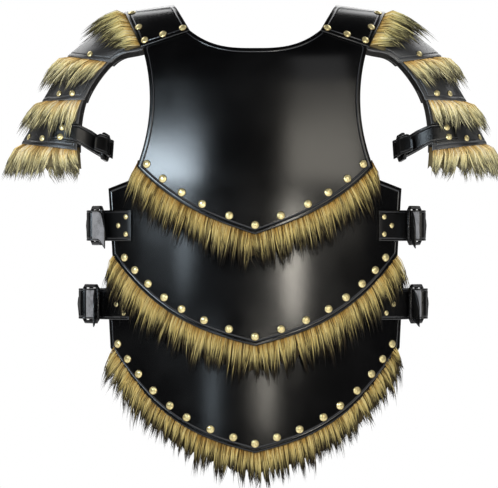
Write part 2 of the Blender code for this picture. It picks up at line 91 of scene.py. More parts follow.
class Face(Enum):
    """Which half of the body a plate covers."""

    FRONT = "front"
    BACK = "back"

    @property
    def is_back(self) -> bool:
        """Whether this is the half behind."""
        return self is Face.BACK


class Slot(Enum):
    """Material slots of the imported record."""

    LEATHER = "leather"
    STRAP = "strap_leather"
    FUR = "fur"
    BUCKLE = "buckle_metal"


def lerp(start: Any, end: Any, share: float) -> Any:
    """Value or point that lies this share of the way along."""
    return start + (end - start) * share


def hermite(start: Any, leave: Any, end: Any, arrive: Any, share: float) -> Any:
    """Value or point on a cubic curve, from its two ends and its slopes there."""
    square, cube = share * share, share * share * share
    return (start * (2 * cube - 3 * square + 1) + leave * (cube - 2 * square + share)
            + end * (3 * square - 2 * cube) + arrive * (cube - square))


def bezier(points: Sequence[Vector], share: float) -> Vector:
    """Point on a cubic Bezier curve, from its four control points."""
    rest, (first, second, third, fourth) = 1 - share, points
    return (first * rest ** 3 + second * (3 * rest * rest * share)
            + third * (3 * rest * share * share) + fourth * share ** 3)


def table_row(table: Sequence[Sequence[float]], place: float) -> list[float]:
    """Read a table on a smooth curve.

    Args:
        table: Rows whose first column is the place.
        place: Where to read, in the first column's terms.

    Returns:
        The values of the other columns there.
    """
    last = len(table) - 2
    index = min(max(sum(1 for row in table if row[0] <= place) - 1, 0), last)
    before, low = table[max(index - 1, 0)], table[index]
    high, after = table[index + 1], table[min(index + 2, last + 1)]
    span = high[0] - low[0]
    share = min(max((place - low[0]) / span, 0), 1)
    values = []
    for column in range(1, len(low)):
        leave = (high[column] - before[column]) / (high[0] - before[0]) * span
        arrive = (after[column] - low[column]) / (after[0] - low[0]) * span
        values.append(hermite(low[column], leave, high[column], arrive, share))
    return values


@dataclass(frozen=True)
class Layering:
    """Thickness of leather and fur backing, and the play between layers."""

    leather: float = 0.0032
    backing: float = 0.0030
    gap: float = 0.0008
    fur_play: float = 1.4
    strap: float = 0.003

    @property
    def pitch(self) -> float:
        """How much deeper each lame lies than the one above it."""
        return self.leather + self.backing + 2 * self.gap


LAYERS = Layering()
PLAIN: Colour = (1.0, 1.0, 1.0)
COOL: Colour = (0.85, 1.0, 1.12)
WARM: Colour = (1.08, 1.02, 0.90)


@dataclass(frozen=True)
class VEdge:
    """A lower edge that rises from a point at the middle to a corner each side."""

    half_width: float
    tip: float
    corner: float
    straightness: float

    def height(self, x: float) -> float:
        """Height of the edge at x."""
        share, bend = abs(x) / self.half_width, self.straightness
        return -self.tip + (self.tip - self.corner) * (bend * share + (1 - bend) * share ** 3)

    def slope(self, x: float) -> float:
        """Steepness of the edge at x."""
        step = LAYERS.gap
        return (self.height(x + step) - self.height(x - step)) / (2 * step)


@dataclass(frozen=True)
class TorsoForm:
    """The worn form of the body, which the outer layer of leather follows."""

    body_drop: float = 0.624
    half_width: float = 0.250
    front_depth: float = 0.134
    back_depth: float = 0.112
    squareness: float = 2.2
    shoulder_rise: float = 0.110
    crest_slope: float = 0.14
    crest_start: float = 0.114
    ease: float = 0.030
    # the last share of a curve that is read, short of where it stands upright
    steep: float = 0.995
    # share of the way down, then half width, front depth and back depth
    sections: tuple[tuple[float, float, float, float], ...] = (
        (0.000, 0.860, 0.787, 0.890),
        (0.152, 0.880, 0.890, 0.900),
        (0.370, 0.945, 0.985, 1.000),
        (0.510, 0.960, 1.000, 0.965),
        (0.750, 0.985, 1.045, 1.000),
        (1.000, 1.000, 1.100, 1.070),
        (1.150, 1.000, 1.120, 1.090),
    )

    def crest_height(self, x: float) -> float:
        """Height of the shoulder's crest above x."""
        return -self.crest_slope * (abs(x) - self.crest_start)

    def section(self, z: float) -> tuple[float, float, float]:
        """Half width, front depth and back depth at a height."""
        half, front, back = table_row(self.sections, -z / self.body_drop)
        return half * self.half_width, front * self.front_depth, back * self.back_depth

    def settle(self, z: float) -> float:
        """Height whose section counts at z, which eases off over the shoulder."""
        over = min(max(z + self.shoulder_rise, 0), self.ease)
        return min(z, -self.shoulder_rise) + over - over * over / (2 * self.ease)

    def roundness(self, x: float, half_width: float) -> float:
        """Share of its full depth that the torso keeps at x."""
        share = min(abs(x) / half_width, self.steep)
        return (1 - share ** self.squareness) ** (1 / self.squareness)

    def depth(self, x: float, z: float, face: Face) -> float:
        """Depth of the surface from the middle plane.

        Args:
            x: Place across.
            z: Height.
            face: Front or back.

        Returns:
            The distance in front of, or behind, the middle plane.
        """
        half, front, back = self.section(self.settle(z))
        depth = (back if face.is_back else front) * self.roundness(x, half)
        if z <= -self.shoulder_rise:
            return depth
        climb = (z + self.shoulder_rise) / (self.crest_height(x) + self.shoulder_rise)
        return depth * math.sqrt(1 - min(climb, self.steep) ** 2)

    def skin(self, x: float, z: float, lift: float, face: Face) -> Skin:
        """Point lifted off the surface, and the normal there.

        Args:
            x: Place across.
            z: Height.
            lift: Distance outwards from the surface.
            face: Front or back.

        Returns:
            The point and its outward normal.
        """
        step = MM
        depth = self.depth(x, z, face)
        across = (self.depth(x + step, z, face) - self.depth(x - step, z, face)) / (2 * step)
        down = (self.depth(x, z + step, face) - self.depth(x, z - step, face)) / (2 * step)
        way = 1 if face.is_back else -1
        steepness = math.sqrt(1 + across * across + down * down)
        point = Vector((x, way * (depth + lift * steepness), z))
        return point, Vector((-across, way, -down)).normalized()


@dataclass(frozen=True)
class BodyCut:
    """How the plate and the two lames of one half of the body are cut.

    A lame's half width is that of its top, from which it tapers to its lower edge.
    """

    neck_half_width: float = 0.093
    neck_scoop: float = 0.062
    neck_rise: float = 0.028
    tab_top: float = 0.022
    tab_half_width: float = 0.150
    tab_slope: float = 0.43
    armhole_half_width: float = 0.147
    armhole_depth: float = 0.018
    armhole_middle: float = 0.133
    breast_edge: VEdge = VEdge(half_width=0.165, tip=0.3215, corner=0.227, straightness=0.58)
    belly_half_width: float = 0.206
    belly_edge: VEdge = VEdge(half_width=0.200, tip=0.476, corner=0.351, straightness=0.42)
    hip_half_width: float = 0.209
    hip_edge: VEdge = VEdge(half_width=0.203, tip=0.624, corner=0.480, straightness=0.37)
    lap: float = 0.035
    lame_shoulder: float = 0.030
    lame_shoulder_slope: float = 0.37
    taper: float = 0.006
    top_passes: int = 6

    def breast_half_width(self, z: float) -> float:
        """Half width of the breastplate, its shoulder tab drawn in at the top.

        Args:
            z: Height.

        Returns:
            The half width there.
        """
        if z > -self.neck_scoop:
            share = min((z + self.neck_scoop) / (self.neck_scoop - self.tab_top), 1)
            return lerp(self.breast_half_width(-self.neck_scoop),
                        self.tab_half_width - self.armhole_depth, share)
        reach = (z + self.armhole_middle) / (self.breast_edge.corner - self.armhole_middle)
        return min(self.armhole_half_width + self.armhole_depth * reach * reach,
                   self.breast_edge.half_width)

    def breast_top(self, x: float) -> float:
        """Height of the neckline, and of the top of the shoulder tab beside it."""
        neckline = -self.neck_scoop + self.neck_rise * (abs(x) / self.neck_half_width) ** 3
        return min(neckline, -self.tab_top - self.tab_slope
                   * (abs(x) - self.neck_half_width - 2 * self.taper))

    def breast_place(self, across: float, down: float) -> tuple[float, float]:
        """Place of a point of the breastplate.

        Args:
            across: Share across, from -1 to 1.
            down: Share down, from 0 to 1.

        Returns:
            X and Z of the point.
        """
        top = -self.neck_scoop
        for _ in range(self.top_passes):
            top = self.breast_top(across * self.breast_half_width(top))
        foot = self.breast_edge.height(across * self.breast_edge.half_width)
        z = lerp(top, foot, down)
        return across * self.breast_half_width(z), z

    def lame_place(self, above: VEdge, edge: VEdge, half_width: float, across: float,
                   down: float) -> tuple[float, float]:
        """Place of a point of a lame.

        Args:
            above: Lower edge of the plate above.
            edge: The lame's own lower edge.
            half_width: Half width of the lame's top.
            across: Share across, from -1 to 1.
            down: Share down, from 0 to 1.

        Returns:
            X and Z of the point.
        """
        x = across * (half_width - self.taper * down)
        side = (-above.corner - self.lame_shoulder
                + self.lame_shoulder_slope * (half_width - abs(x)))
        top = min(above.height(x) + self.lap, side)
        return x, lerp(top, edge.height(x), down)


@dataclass(frozen=True)
class SleeveForm:
    """The outer face of the yoke and of the arm's lames, on the right side.

    Along runs from -1 at the yoke's inner edge to 0 at its outer edge, and then
    counts the lower edges of the arm's lames. Around runs from -1 in front to 1
    behind.
    """

    torso: TorsoForm
    reach: float
    drop: float = 0.200
    half_depth: float = 0.064
    spread: float = math.radians(100)
    inner_crest: float = 0.114
    inner_foot: float = 0.091
    outer_crest: float = 0.185
    outer_foot: float = 0.160
    inner_spread: float = math.radians(51)
    outer_spread: float = math.radians(62)
    # outer point across and down, corner across and down, and depth, as shares
    stations: tuple[tuple[float, float, float, float, float], ...] = (
        (0.62, 0.345, 0.24, 0.405, 0.96),
        (0.83, 0.665, 0.46, 0.665, 1.00),
        (1.00, 0.965, 0.52, 1.020, 1.04),
        (1.09, 1.245, 0.47, 1.280, 1.08),
    )

    def yoke_edge(self, crest: float, foot: float, spread: float, angle: float) -> float:
        """How far out an edge of the yoke lies at an angle over the shoulder."""
        share = (math.cos(angle) - math.cos(spread)) / (1 - math.cos(spread))
        return lerp(foot, crest, share)

    def shoulder_point(self, along: float, around: float) -> Vector:
        """Point of the yoke's outer face.

        Args:
            along: Place from the neck at -1 to the outer edge at 0.
            around: Place from the front to the back.

        Returns:
            The point.
        """
        torso = self.torso
        angle = around * lerp(self.inner_spread, self.outer_spread, along + 1)
        inner = self.yoke_edge(self.inner_crest, self.inner_foot, self.inner_spread,
                               around * self.inner_spread)
        outer = self.yoke_edge(self.outer_crest, self.outer_foot, self.outer_spread,
                               around * self.outer_spread)
        x = lerp(inner, outer, along + 1)
        lift = LAYERS.leather + LAYERS.gap
        half, front, back = torso.section(torso.settle(0))
        depth = (front if around < 0 else back) * torso.roundness(x, half) + lift
        rise = torso.crest_height(x) + torso.shoulder_rise + lift
        return Vector((x, depth * math.sin(angle),
                       -torso.shoulder_rise + rise * math.cos(angle)))

    def station_point(self, index: int, around: float) -> Vector:
        """Point on the lower edge of an arm lame.

        Args:
            index: Number of the lame, from 1.
            around: Place from the front to the back.

        Returns:
            The point.
        """
        outer_x, outer_z, corner_x, corner_z, depth = self.stations[index - 1]
        outer = Vector((self.outer_foot + outer_x * self.reach, 0, -outer_z * self.drop))
        corner = Vector((self.outer_foot + corner_x * self.reach, 0, -corner_z * self.drop))
        radius = (outer - corner) / (1 - math.cos(self.spread))
        angle = around * self.spread
        sideways = Vector((0, depth * self.half_depth * math.sin(angle), 0))
        return outer - radius + radius * math.cos(angle) + sideways

    def ring(self, number: int, around: float) -> Vector:
        """Point at a whole number along the sleeve, held to where it starts and ends."""
        return (self.shoulder_point(max(number, -1), around) if number <= 0
                else self.station_point(min(number, len(self.stations)), around))

    def base(self, along: float, around: float) -> Vector:
        """Point of the outer face.

        Args:
            along: Place from the neck to the cuff.
            around: Place from the front to the back.

        Returns:
            The point.
        """
        if along <= 0:
            return self.shoulder_point(along, around)
        index = min(int(along), len(self.stations) - 1)
        start, end = self.ring(index, around), self.ring(index + 1, around)
        leave = (end - self.ring(index - 1, around)) / 2
        arrive = (self.ring(index + 2, around) - start) / 2
        return hermite(start, leave, end, arrive, along - index)

    def pace(self, start: float, end: float, around: float = 0.0) -> float:
        """Metres for a unit of place along the sleeve, between two places."""
        return (self.base(end, around) - self.base(start, around)).length / (end - start)

    def skin(self, along: float, around: float, lift: float, side: Side) -> Skin:
        """Point lifted off the sleeve, on its own side.

        Args:
            along: Place from the neck to the cuff.
            around: Place from the front to the back.
            lift: Distance outwards.
            side: Side of the jacket.

        Returns:
            The point and its outward normal.
        """
        step = 0.03
        outward = self.base(along + step, around) - self.base(along - step, around)
        sweep = self.base(along, around + step) - self.base(along, around - step)
        normal = outward.cross(sweep).normalized()
        point = self.base(along, around) + normal * lift
        point.x *= side.sign
        normal.x *= side.sign
        return point, normal

    @staticmethod
    def inset(number: int, along: float) -> float:
        """How deep the outer face of a lame lies under the sleeve's outer face."""
        return LAYERS.pitch * (number - max(along, 0)) if number else 0.0


@dataclass(frozen=True)
class ShaderBoard:
    """A node tree that is filled with short calls."""

    tree: bpy.types.NodeTree

    def feed(self, node: bpy.types.Node, inputs: dict[Any, Any]) -> None:
        """Link or set some of a node's inputs.

        Args:
            node: The node.
            inputs: Socket name or number to a value or to a socket.
        """
        for name, value in inputs.items():
            if isinstance(value, bpy.types.NodeSocket):
                self.tree.links.new(value, node.inputs[name])
            else:
                node.inputs[name].default_value = value

    def add(self, kind: str, inputs: dict[Any, Any] | None = None,
            **settings: Any) -> bpy.types.Node:
        """Place a node.

        Args:
            kind: Blender's name of the node's type.
            inputs: Socket name or number to a value or to a socket.
            **settings: Properties of the node.

        Returns:
            The new node.
        """
        node = self.tree.nodes.new(kind)
        for name, value in settings.items():
            setattr(node, name, value)
        self.feed(node, inputs or {})
        return node

    def group(self, tree: bpy.types.NodeTree, **inputs: Any) -> Any:
        """Output sockets of a group that is placed with these inputs."""
        return self.add("ShaderNodeGroup", inputs, node_tree=tree).outputs

    def place(self) -> Any:
        """Socket that tells the place on the piece."""
        return self.add("ShaderNodeTexCoord").outputs["Object"]

    def maths(self, operation: str, first: Any, second: Any = 0.0) -> Any:
        """Result socket of a Math node."""
        return self.add("ShaderNodeMath", {0: first, 1: second}, operation=operation).outputs[0]

    def times(self, first: Any, second: Any) -> Any:
        """Product of two values or sockets."""
        return self.maths("MULTIPLY", first, second)

    def plus(self, first: Any, second: Any) -> Any:
        """Sum of two values or sockets."""
        return self.maths("ADD", first, second)

    def remap(self, value: Any, low: float, high: float, start: float = 0.0,
              end: float = 1.0) -> Any:
        """Move a value smoothly from the range low to high to start to end."""
        inputs = {"Value": value, "From Min": low, "From Max": high,
                  "To Min": start, "To Max": end}
        return self.add("ShaderNodeMapRange", inputs,
                        interpolation_type="SMOOTHSTEP").outputs["Result"]

    def mix(self, share: Any, first: Any, second: Any, blend: str = "MIX") -> Any:
        """Mix two colours.

        Args:
            share: How much the second one counts.
            first: Colour or socket.
            second: Colour or socket.
            blend: Blender's name of the way in which they mix.

        Returns:
            The result's socket.
        """
        colours = [value if isinstance(value, bpy.types.NodeSocket) else (*value, 1)
                   for value in (first, second)]
        # a Mix node for colours has them at sockets 6 and 7, and its result at 2
        return self.add("ShaderNodeMix", {0: share, 6: colours[0], 7: colours[1]},
                        data_type="RGBA", blend_type=blend).outputs[2]

    def ramp(self, value: Any, stops: Sequence[tuple[float, Colour]]) -> Any:
        """Colour a value by a ramp.

        Args:
            value: Value or socket.
            stops: Places from 0 to 1, and their colours.

        Returns:
            The colour's socket.
        """
        node = self.add("ShaderNodeValToRGB", {"Fac": value})
        elements = node.color_ramp.elements
        while len(elements) < len(stops):
            elements.new(0.5)
        for element, (place, colour) in zip(elements, stops):
            element.position = place
            element.color = (*colour, 1)
        return node.outputs["Color"]

    def noise(self, vector: Any, scale: float, detail: float = 2.0,
              roughness: float = 0.5) -> Any:
        """Value socket of a Noise Texture."""
        inputs = {"Vector": vector, "Scale": scale, "Detail": detail, "Roughness": roughness}
        return self.add("ShaderNodeTexNoise", inputs).outputs["Fac"]

    def bump(self, height: Any, distance: float, strength: float) -> Any:
        """Normal socket of a Bump node."""
        inputs = {"Height": height, "Distance": distance, "Strength": strength}
        return self.add("ShaderNodeBump", inputs).outputs["Normal"]


def new_group(name: str, inputs: dict[str, float],
              outputs: Sequence[str]) -> tuple[Any, ShaderBoard]:
    """Start a group of float sockets.

    Args:
        name: Name of the group.
        inputs: Names of the sockets in, and their default values.
        outputs: Names of the sockets out.

    Returns:
        What its input node gives, and a board on its tree.
    """
    tree = bpy.data.node_groups.new(name, "ShaderNodeTree")
    kind = "NodeSocketFloat"
    for label, value in inputs.items():
        socket = tree.interface.new_socket(label, in_out="INPUT", socket_type=kind)
        socket.default_value = value
    for label in outputs:
        tree.interface.new_socket(label, in_out="OUTPUT", socket_type=kind)
    board = ShaderBoard(tree)
    return board.add("NodeGroupInput").outputs, board


@cache
def hide_grain() -> bpy.types.NodeTree:
    """Group for pebbled hide: fine cells broken up by creases.

    Returns:
        The group's tree.
    """
    given, board = new_group("hide_grain", {"Cells": 900.0, "Creases": 0.4}, ("Height", "Tone"))
    place = board.place()
    cells = board.add("ShaderNodeTexVoronoi", {"Vector": place, "Scale": given["Cells"]},
                      feature="DISTANCE_TO_EDGE")
    pebble = board.remap(cells.outputs["Distance"], 0.0, 0.35)
    crease = board.times(board.noise(place, 130.0, 4.0, 0.6), given["Creases"])
    height = board.plus(board.times(pebble, 0.6), crease)
    height = board.plus(height, board.times(board.noise(place, 260.0), 0.35))
    tone = board.noise(place, 11.0, 3.0, 0.55)
    board.add("NodeGroupOutput", {"Height": height, "Tone": tone})
    return board.tree


@cache
def flesh_nap() -> bpy.types.NodeTree:
    """Group for leather's flesh side: short fibres and dark pores.

    Returns:
        The group's tree.
    """
    given, board = new_group("flesh_nap", {"Fibres": 700.0}, ("Height", "Tone"))
    place = board.place()
    fibres = board.noise(place, given["Fibres"], 4.0, 0.7)
    blotches = board.noise(place, 60.0, 3.0, 0.6)
    tone = board.plus(board.times(fibres, 0.45), board.times(blotches, 0.55))
    board.add("NodeGroupOutput", {"Height": fibres, "Tone": tone})
    return board.tree


@cache
def rim_wear_and_line_highlight() -> bpy.types.NodeTree:
    """Group for rubbing along the rim, and a painted highlight along the creased line.

    Returns:
        The group's tree.
    """
    given, board = new_group("rim_wear_and_line_highlight", {"Edge": 1.0, "Rubbing": 0.5}, ("Rub", "Line"))
    patchy = board.remap(board.noise(board.place(), 75.0, 4.0, 0.65), 0.35, 0.62, 0.25, 1.0)
    rim = board.remap(given["Edge"], 0.16, 0.02)
    rub = board.times(board.times(rim, patchy), given["Rubbing"])
    # mask of the creased line, which the finish paints as a highlight
    offset = board.maths("ABSOLUTE", board.maths("SUBTRACT", given["Edge"], LINE_MARK))
    board.add("NodeGroupOutput", {"Rub": rub, "Line": board.remap(offset, 0.10, 0.0)})
    return board.tree


@dataclass(frozen=True)
class Finish(ABC):
    """A surface of the jacket, which becomes a material."""

    name: str

    def material(self) -> Material:
        """Build the material.

        Returns:
            The new material.
        """
        made = bpy.data.materials.new(self.name)
        made.use_nodes = True
        board = ShaderBoard(made.node_tree)
        board.feed(made.node_tree.nodes["Principled BSDF"], self.looks(board))
        return made

    @abstractmethod
    def looks(self, board: ShaderBoard) -> dict[str, Any]:
        """Lay out the nodes of this finish.

        Args:
            board: Board on the material's tree.

        Returns:
            Names of the shader's inputs, and a value or socket for each.
        """


@dataclass(frozen=True)
class LeatherFinish(Finish):
    """Dyed and waxed hide: near black, semi-gloss, greyer where it is rubbed, with a painted
    highlight on its creased line.
    """

    dye: Colour = (0.0010, 0.0010, 0.0012)
    faded: Colour = (0.0026, 0.0026, 0.0028)
    rubbed: Colour = (0.060, 0.062, 0.066)
    # colour of the creased line: a painted highlight, far lighter than the dye, for the light that
    # the groove's edges catch
    line: Colour = (0.040, 0.042, 0.047)
    cells: float = 900.0
    creases: float = 0.9
    rubbing: float = 0.12
    gloss: float = 0.175
    dull: float = 0.225
    rub_dulling: float = 0.12
    grain_depth: float = 0.000025

    def looks(self, board: ShaderBoard) -> dict[str, Any]:
        """Lay out the grain, the rubbed rim and the painted highlight on the creased line.

        Args:
            board: Board on the material's tree.

        Returns:
            What the shader's inputs get.
        """
        grain = board.group(hide_grain(), Cells=self.cells, Creases=self.creases)
        edge = board.add("ShaderNodeAttribute", attribute_name=EDGE).outputs["Fac"]
        wear_and_highlight = board.group(rim_wear_and_line_highlight(), Edge=edge, Rubbing=self.rubbing)
        colour = board.mix(board.remap(grain["Tone"], 0.35, 0.68), self.dye, self.faded)
        colour = board.mix(wear_and_highlight["Rub"], colour, self.rubbed)
        # painted highlight along the creased line
        colour = board.mix(wear_and_highlight["Line"], colour, self.line)
        rough = board.remap(grain["Tone"], 0.30, 0.70, self.gloss, self.dull)
        rough = board.plus(rough, board.times(wear_and_highlight["Rub"], self.rub_dulling))
        return {"Base Color": colour, "Roughness": rough, "Specular IOR Level": 0.55,
                "Normal": board.bump(grain["Height"], self.grain_depth, 0.7)}


@dataclass(frozen=True)
class SuedeFinish(Finish):
    """Flesh side of the leather, napped and without gloss."""

    light: Colour = (0.25, 0.255, 0.27)
    dark: Colour = (0.085, 0.085, 0.092)
    fibres: float = 700.0
    nap_depth: float = 0.0003

    def looks(self, board: ShaderBoard) -> dict[str, Any]:
        """Lay out the nap.

        Args:
            board: Board on the material's tree.

        Returns:
            What the shader's inputs get.
        """
        nap = board.group(flesh_nap(), Fibres=self.fibres)
        colour = board.mix(board.remap(nap["Tone"], 0.36, 0.60), self.dark, self.light)
        return {"Base Color": colour, "Roughness": 0.92, "Sheen Weight": 0.15,
                "Normal": board.bump(nap["Height"], self.nap_depth, 0.6)}


@dataclass(frozen=True)
class FurFinish(Finish):
    """Golden guard hair with black tips, read from the strands' own map.

    The map's U is a random shade for each strand, and its V runs from root to
    tip. Shades under the undercoat's limit are the matted hair below, darkened as painted shade
    deep in the pile.
    """

    name: str = "golden_fur"
    undercoat_limit: float = 0.05
    # how far the undercoat is darkened: painted shade deep in the pile
    undercoat_dark: float = 0.75
    along: tuple[tuple[float, Colour], ...] = (
        (0.00, (0.370, 0.165, 0.028)),
        (0.14, (0.540, 0.320, 0.075)),
        (0.36, (0.600, 0.460, 0.160)),
        (0.53, (0.430, 0.350, 0.130)),
        (0.65, (0.120, 0.098, 0.045)),
        (0.75, (0.014, 0.012, 0.009)),
        (1.00, (0.004, 0.004, 0.004)),
    )
    pale: Colour = (0.80, 0.70, 0.34)
    dark: Colour = (0.032, 0.021, 0.009)
    streaks: float = 0.78
    # multiplier on the fur's colours; above one it is painted light, for fur that stands in more
    # light
    tint: Colour = PLAIN
    golden_share: float = 1.0
    shuffle: float = 37.7
    unevenness: float = 0.22

    def looks(self, board: ShaderBoard) -> dict[str, Any]:
        """Lay out the colours along the strands, from their map alone.

        Args:
            board: Board on the material's tree.

        Returns:
            What the shader's inputs get.
        """
        place = board.add("ShaderNodeUVMap", uv_map=STRAND_MAP).outputs["UV"]
        parts = board.add("ShaderNodeSeparateXYZ", {0: place}).outputs
        shade, along = parts["X"], parts["Y"]
        shuffled = board.maths("FRACT", board.times(shade, self.shuffle))
        shift = board.times(board.maths("SUBTRACT", shuffled, 0.5), self.unevenness)
        moved = board.plus(along, board.times(shift, along))
        moved = board.times(moved, 1 / self.golden_share)
        colour = board.mix(1.0, board.ramp(moved, self.along), self.tint, "MULTIPLY")
        paler = board.times(board.remap(shade, 0.62, 0.95),
                            board.remap(moved, 0.70, 0.25, 0.0, 0.65))
        colour = board.mix(paler, colour, self.pale)
        darker = board.remap(shade, 0.42, 0.12, 0.0, self.streaks)
        colour = board.mix(darker, colour, self.dark)
        # the undercoat sheet is darkened as painted shade for the depth under the strands
        under = board.maths("LESS_THAN", shade, self.undercoat_limit)
        colour = board.mix(board.times(under, self.undercoat_dark), colour, self.dark)
        return {"Base Color": colour, "Roughness": 0.60, "Specular IOR Level": 0.12}


@dataclass(frozen=True)
class MetalFinish(Finish):
    """Plated or cast metal, with patina in patches."""

    bright: Colour
    patina: Colour
    gloss: float
    dull: float
    metallic: float = 1.0
    patches: float = 320.0
    pitting: float = 0.00008

    def looks(self, board: ShaderBoard) -> dict[str, Any]:
        """Lay out the patina.

        Args:
            board: Board on the material's tree.

        Returns:
            What the shader's inputs get.
        """
        place = board.place()
        patch = board.remap(board.noise(place, self.patches, 4.0, 0.6), 0.40, 0.66)
        return {"Base Color": board.mix(patch, self.bright, self.patina),
                "Roughness": board.remap(patch, 0.0, 1.0, self.gloss, self.dull),
                "Metallic": self.metallic,
                "Normal": board.bump(board.noise(place, 900.0, 3.0), self.pitting, 0.5)}


class Palette:
    """Every finish of the jacket, made into materials once."""

    def __init__(self) -> None:
        """Build the materials."""
        self.hide = LeatherFinish("black_hide").material()
        self.worn_hide = LeatherFinish(
            "worn_arm_hide", dye=(0.010, 0.010, 0.011), faded=(0.045, 0.046, 0.047),
            rubbed=(0.16, 0.16, 0.165), rubbing=0.8, gloss=0.26, dull=0.36,
            grain_depth=0.0001).material()
        self.strap = LeatherFinish("black_strap_leather", rubbed=(0.026, 0.026, 0.028),
                                   cells=1100.0, gloss=0.24, dull=0.34).material()
        # a darker copy of the grey flesh side for the insides of plates and sleeves: painted
        # shade, as these sides lie in shade
        self.lining = SuedeFinish("flesh_side_painted_shade", light=(0.045, 0.043, 0.042),
                                  dark=(0.014, 0.013, 0.013)).material()
        self.suede = SuedeFinish("grey_flesh_side").material()
        self.fur = FurFinish().material()
        # brighter, paler copies of the golden fur for the arms and shoulders; the brightening is
        # painted light, as these stand in more light
        self.arm_fur = FurFinish("pale_arm_fur", pale=(0.97, 0.94, 0.74),
                                 dark=(0.075, 0.062, 0.038), streaks=0.50,
                                 tint=(1.52, 1.72, 2.50), golden_share=1.30).material()
        self.yoke_fur = FurFinish("shoulder_fur", pale=(0.88, 0.83, 0.54),
                                  dark=(0.050, 0.038, 0.020), streaks=0.65,
                                  tint=(1.26, 1.42, 1.70), golden_share=1.20).material()
        self.brass = MetalFinish("antique_brass", (0.80, 0.70, 0.37), (0.50, 0.40, 0.18),
                                 0.30, 0.42, metallic=0.7).material()
        # dark ring round the foot of each rivet cap: painted shadow where the cap meets the
        # leather
        self.brass_foot = MetalFinish("brass_painted_shadow_ring", (0.14, 0.10, 0.05),
                                      (0.05, 0.035, 0.02), 0.4, 0.6).material()
        self.black_metal = MetalFinish("black_plated_metal", (0.016, 0.016, 0.017),
                                       (0.006, 0.006, 0.006), 0.20, 0.38,
                                       metallic=0.6).material()


def put_in_scene(name: str, data: bpy.types.ID) -> bpy.types.Object:
    """Put a new object into the scene.

    Args:
        name: Its name.
        data: Its mesh, light or camera.

    Returns:
        The object, at the origin.
    """
    made = bpy.data.objects.new(name, data)
    bpy.context.scene.collection.objects.link(made)
    return made


def to_mesh(name: str, bm: BMesh) -> bpy.types.Mesh:
    """Turn a bmesh into a mesh.

    Args:
        name: Name of the mesh.
        bm: The bmesh, which is used up.

    Returns:
        The mesh.
    """
    made = bpy.data.meshes.new(name)
    bm.to_mesh(made)
    bm.free()
    return made


def face_outwards(bm: BMesh) -> None:
    """Turn the faces of a closed shell outwards."""
    bmesh.ops.recalc_face_normals(bm, faces=bm.faces)
    if bm.calc_volume(signed=True) < 0:
        bmesh.ops.reverse_faces(bm, faces=bm.faces)


def seal(name: str, bm: BMesh, materials: Sequence[Material],
         sharp: float) -> bpy.types.Object:
    """Turn a bmesh into an object of the jacket.

    Args:
        name: Name of the piece.
        bm: Its mesh, which is used up.
        materials: Its materials, in slot order.
        sharp: Angle past which an edge is sharp, in degrees.

    Returns:
        The new object, at the origin.
    """
    mesh = to_mesh(name, bm)
    for surface in materials:
        mesh.materials.append(surface)
    mesh.shade_smooth()
    mesh.set_sharp_from_angle(angle=math.radians(sharp))
    return put_in_scene(name, mesh)


def register(piece: bpy.types.Object, slot: Slot, *nodes: str) -> None:
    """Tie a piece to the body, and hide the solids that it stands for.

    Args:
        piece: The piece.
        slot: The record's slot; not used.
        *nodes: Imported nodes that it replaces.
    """
    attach(piece, BODY)
    if nodes:
        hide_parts(*nodes)
    LOG.info("%s: %d faces, for %s", piece.name, len(piece.data.polygons),
             ", ".join(nodes) or "no solid")


@dataclass
class DoubleGrid:
    """A flat grid and its copy, joined round the border, to be bent into a wall."""

    columns: int
    rows: int

    def __post_init__(self) -> None:
        """Make the grid."""
        self.bm = bmesh.new()
        self.mark = self.bm.verts.layers.float.new(EDGE)
        bmesh.ops.create_grid(self.bm, x_segments=self.columns, y_segments=self.rows, size=0.5)
        self.under = set(self.bm.verts)
        bmesh.ops.extrude_face_region(self.bm, geom=self.bm.faces[:])

    def place(self, vert: bmesh.types.BMVert) -> tuple[int, int]:
        """Row and column of a vertex that still lies flat."""
        return round((0.5 - vert.co.y) * self.rows), round((vert.co.x + 0.5) * self.columns)


@dataclass(frozen=True)
class Rim:
    """Section of a cut edge: rounded over, with a creased line inside it."""

    drop: float = 0.0011
    width: float = 0.0018
    line_inset: float = 0.0062
    line_depth: float = 0.0006
    line_half: float = 0.0008
    # lines of the mesh over the rounding, and about the creased line
    round_shares: tuple[float, ...] = (0.0, 0.2, 0.5, 1.0)
    line_shares: tuple[float, ...] = (-1.0, -0.45, 0.0, 0.45, 1.0, 2.6)

    def stops(self) -> np.ndarray:
        """Distances from the edge at which the mesh has a line of vertices.

        Returns:
            The distances, from the edge inwards.
        """
        rounding = self.width * np.array(self.round_shares)
        groove = self.line_inset + self.line_half * np.array(self.line_shares)
        between = lerp(rounding[-1], groove[0], 0.55)
        return np.concatenate((rounding, (between,), groove))

    def height(self, edge: np.ndarray) -> np.ndarray:
        """Height of the outer face.

        Args:
            edge: Distances from the edge.

        Returns:
            The height at each distance.
        """
        fall = np.clip(1 - edge / self.width, 0, 1)
        rounding = -self.drop * (1 - np.sqrt(np.clip(1 - fall ** 2, 0, 1)))
        groove = np.clip(1 - np.abs(edge - self.line_inset) / self.line_half, 0, 1)
        return rounding - self.line_depth * groove * groove * (3 - 2 * groove)

    def mark(self, edge: float) -> float:
        """What the finishes read of the distance from the edge."""
        return min(float(edge) * LINE_MARK / self.line_inset, 1.0)


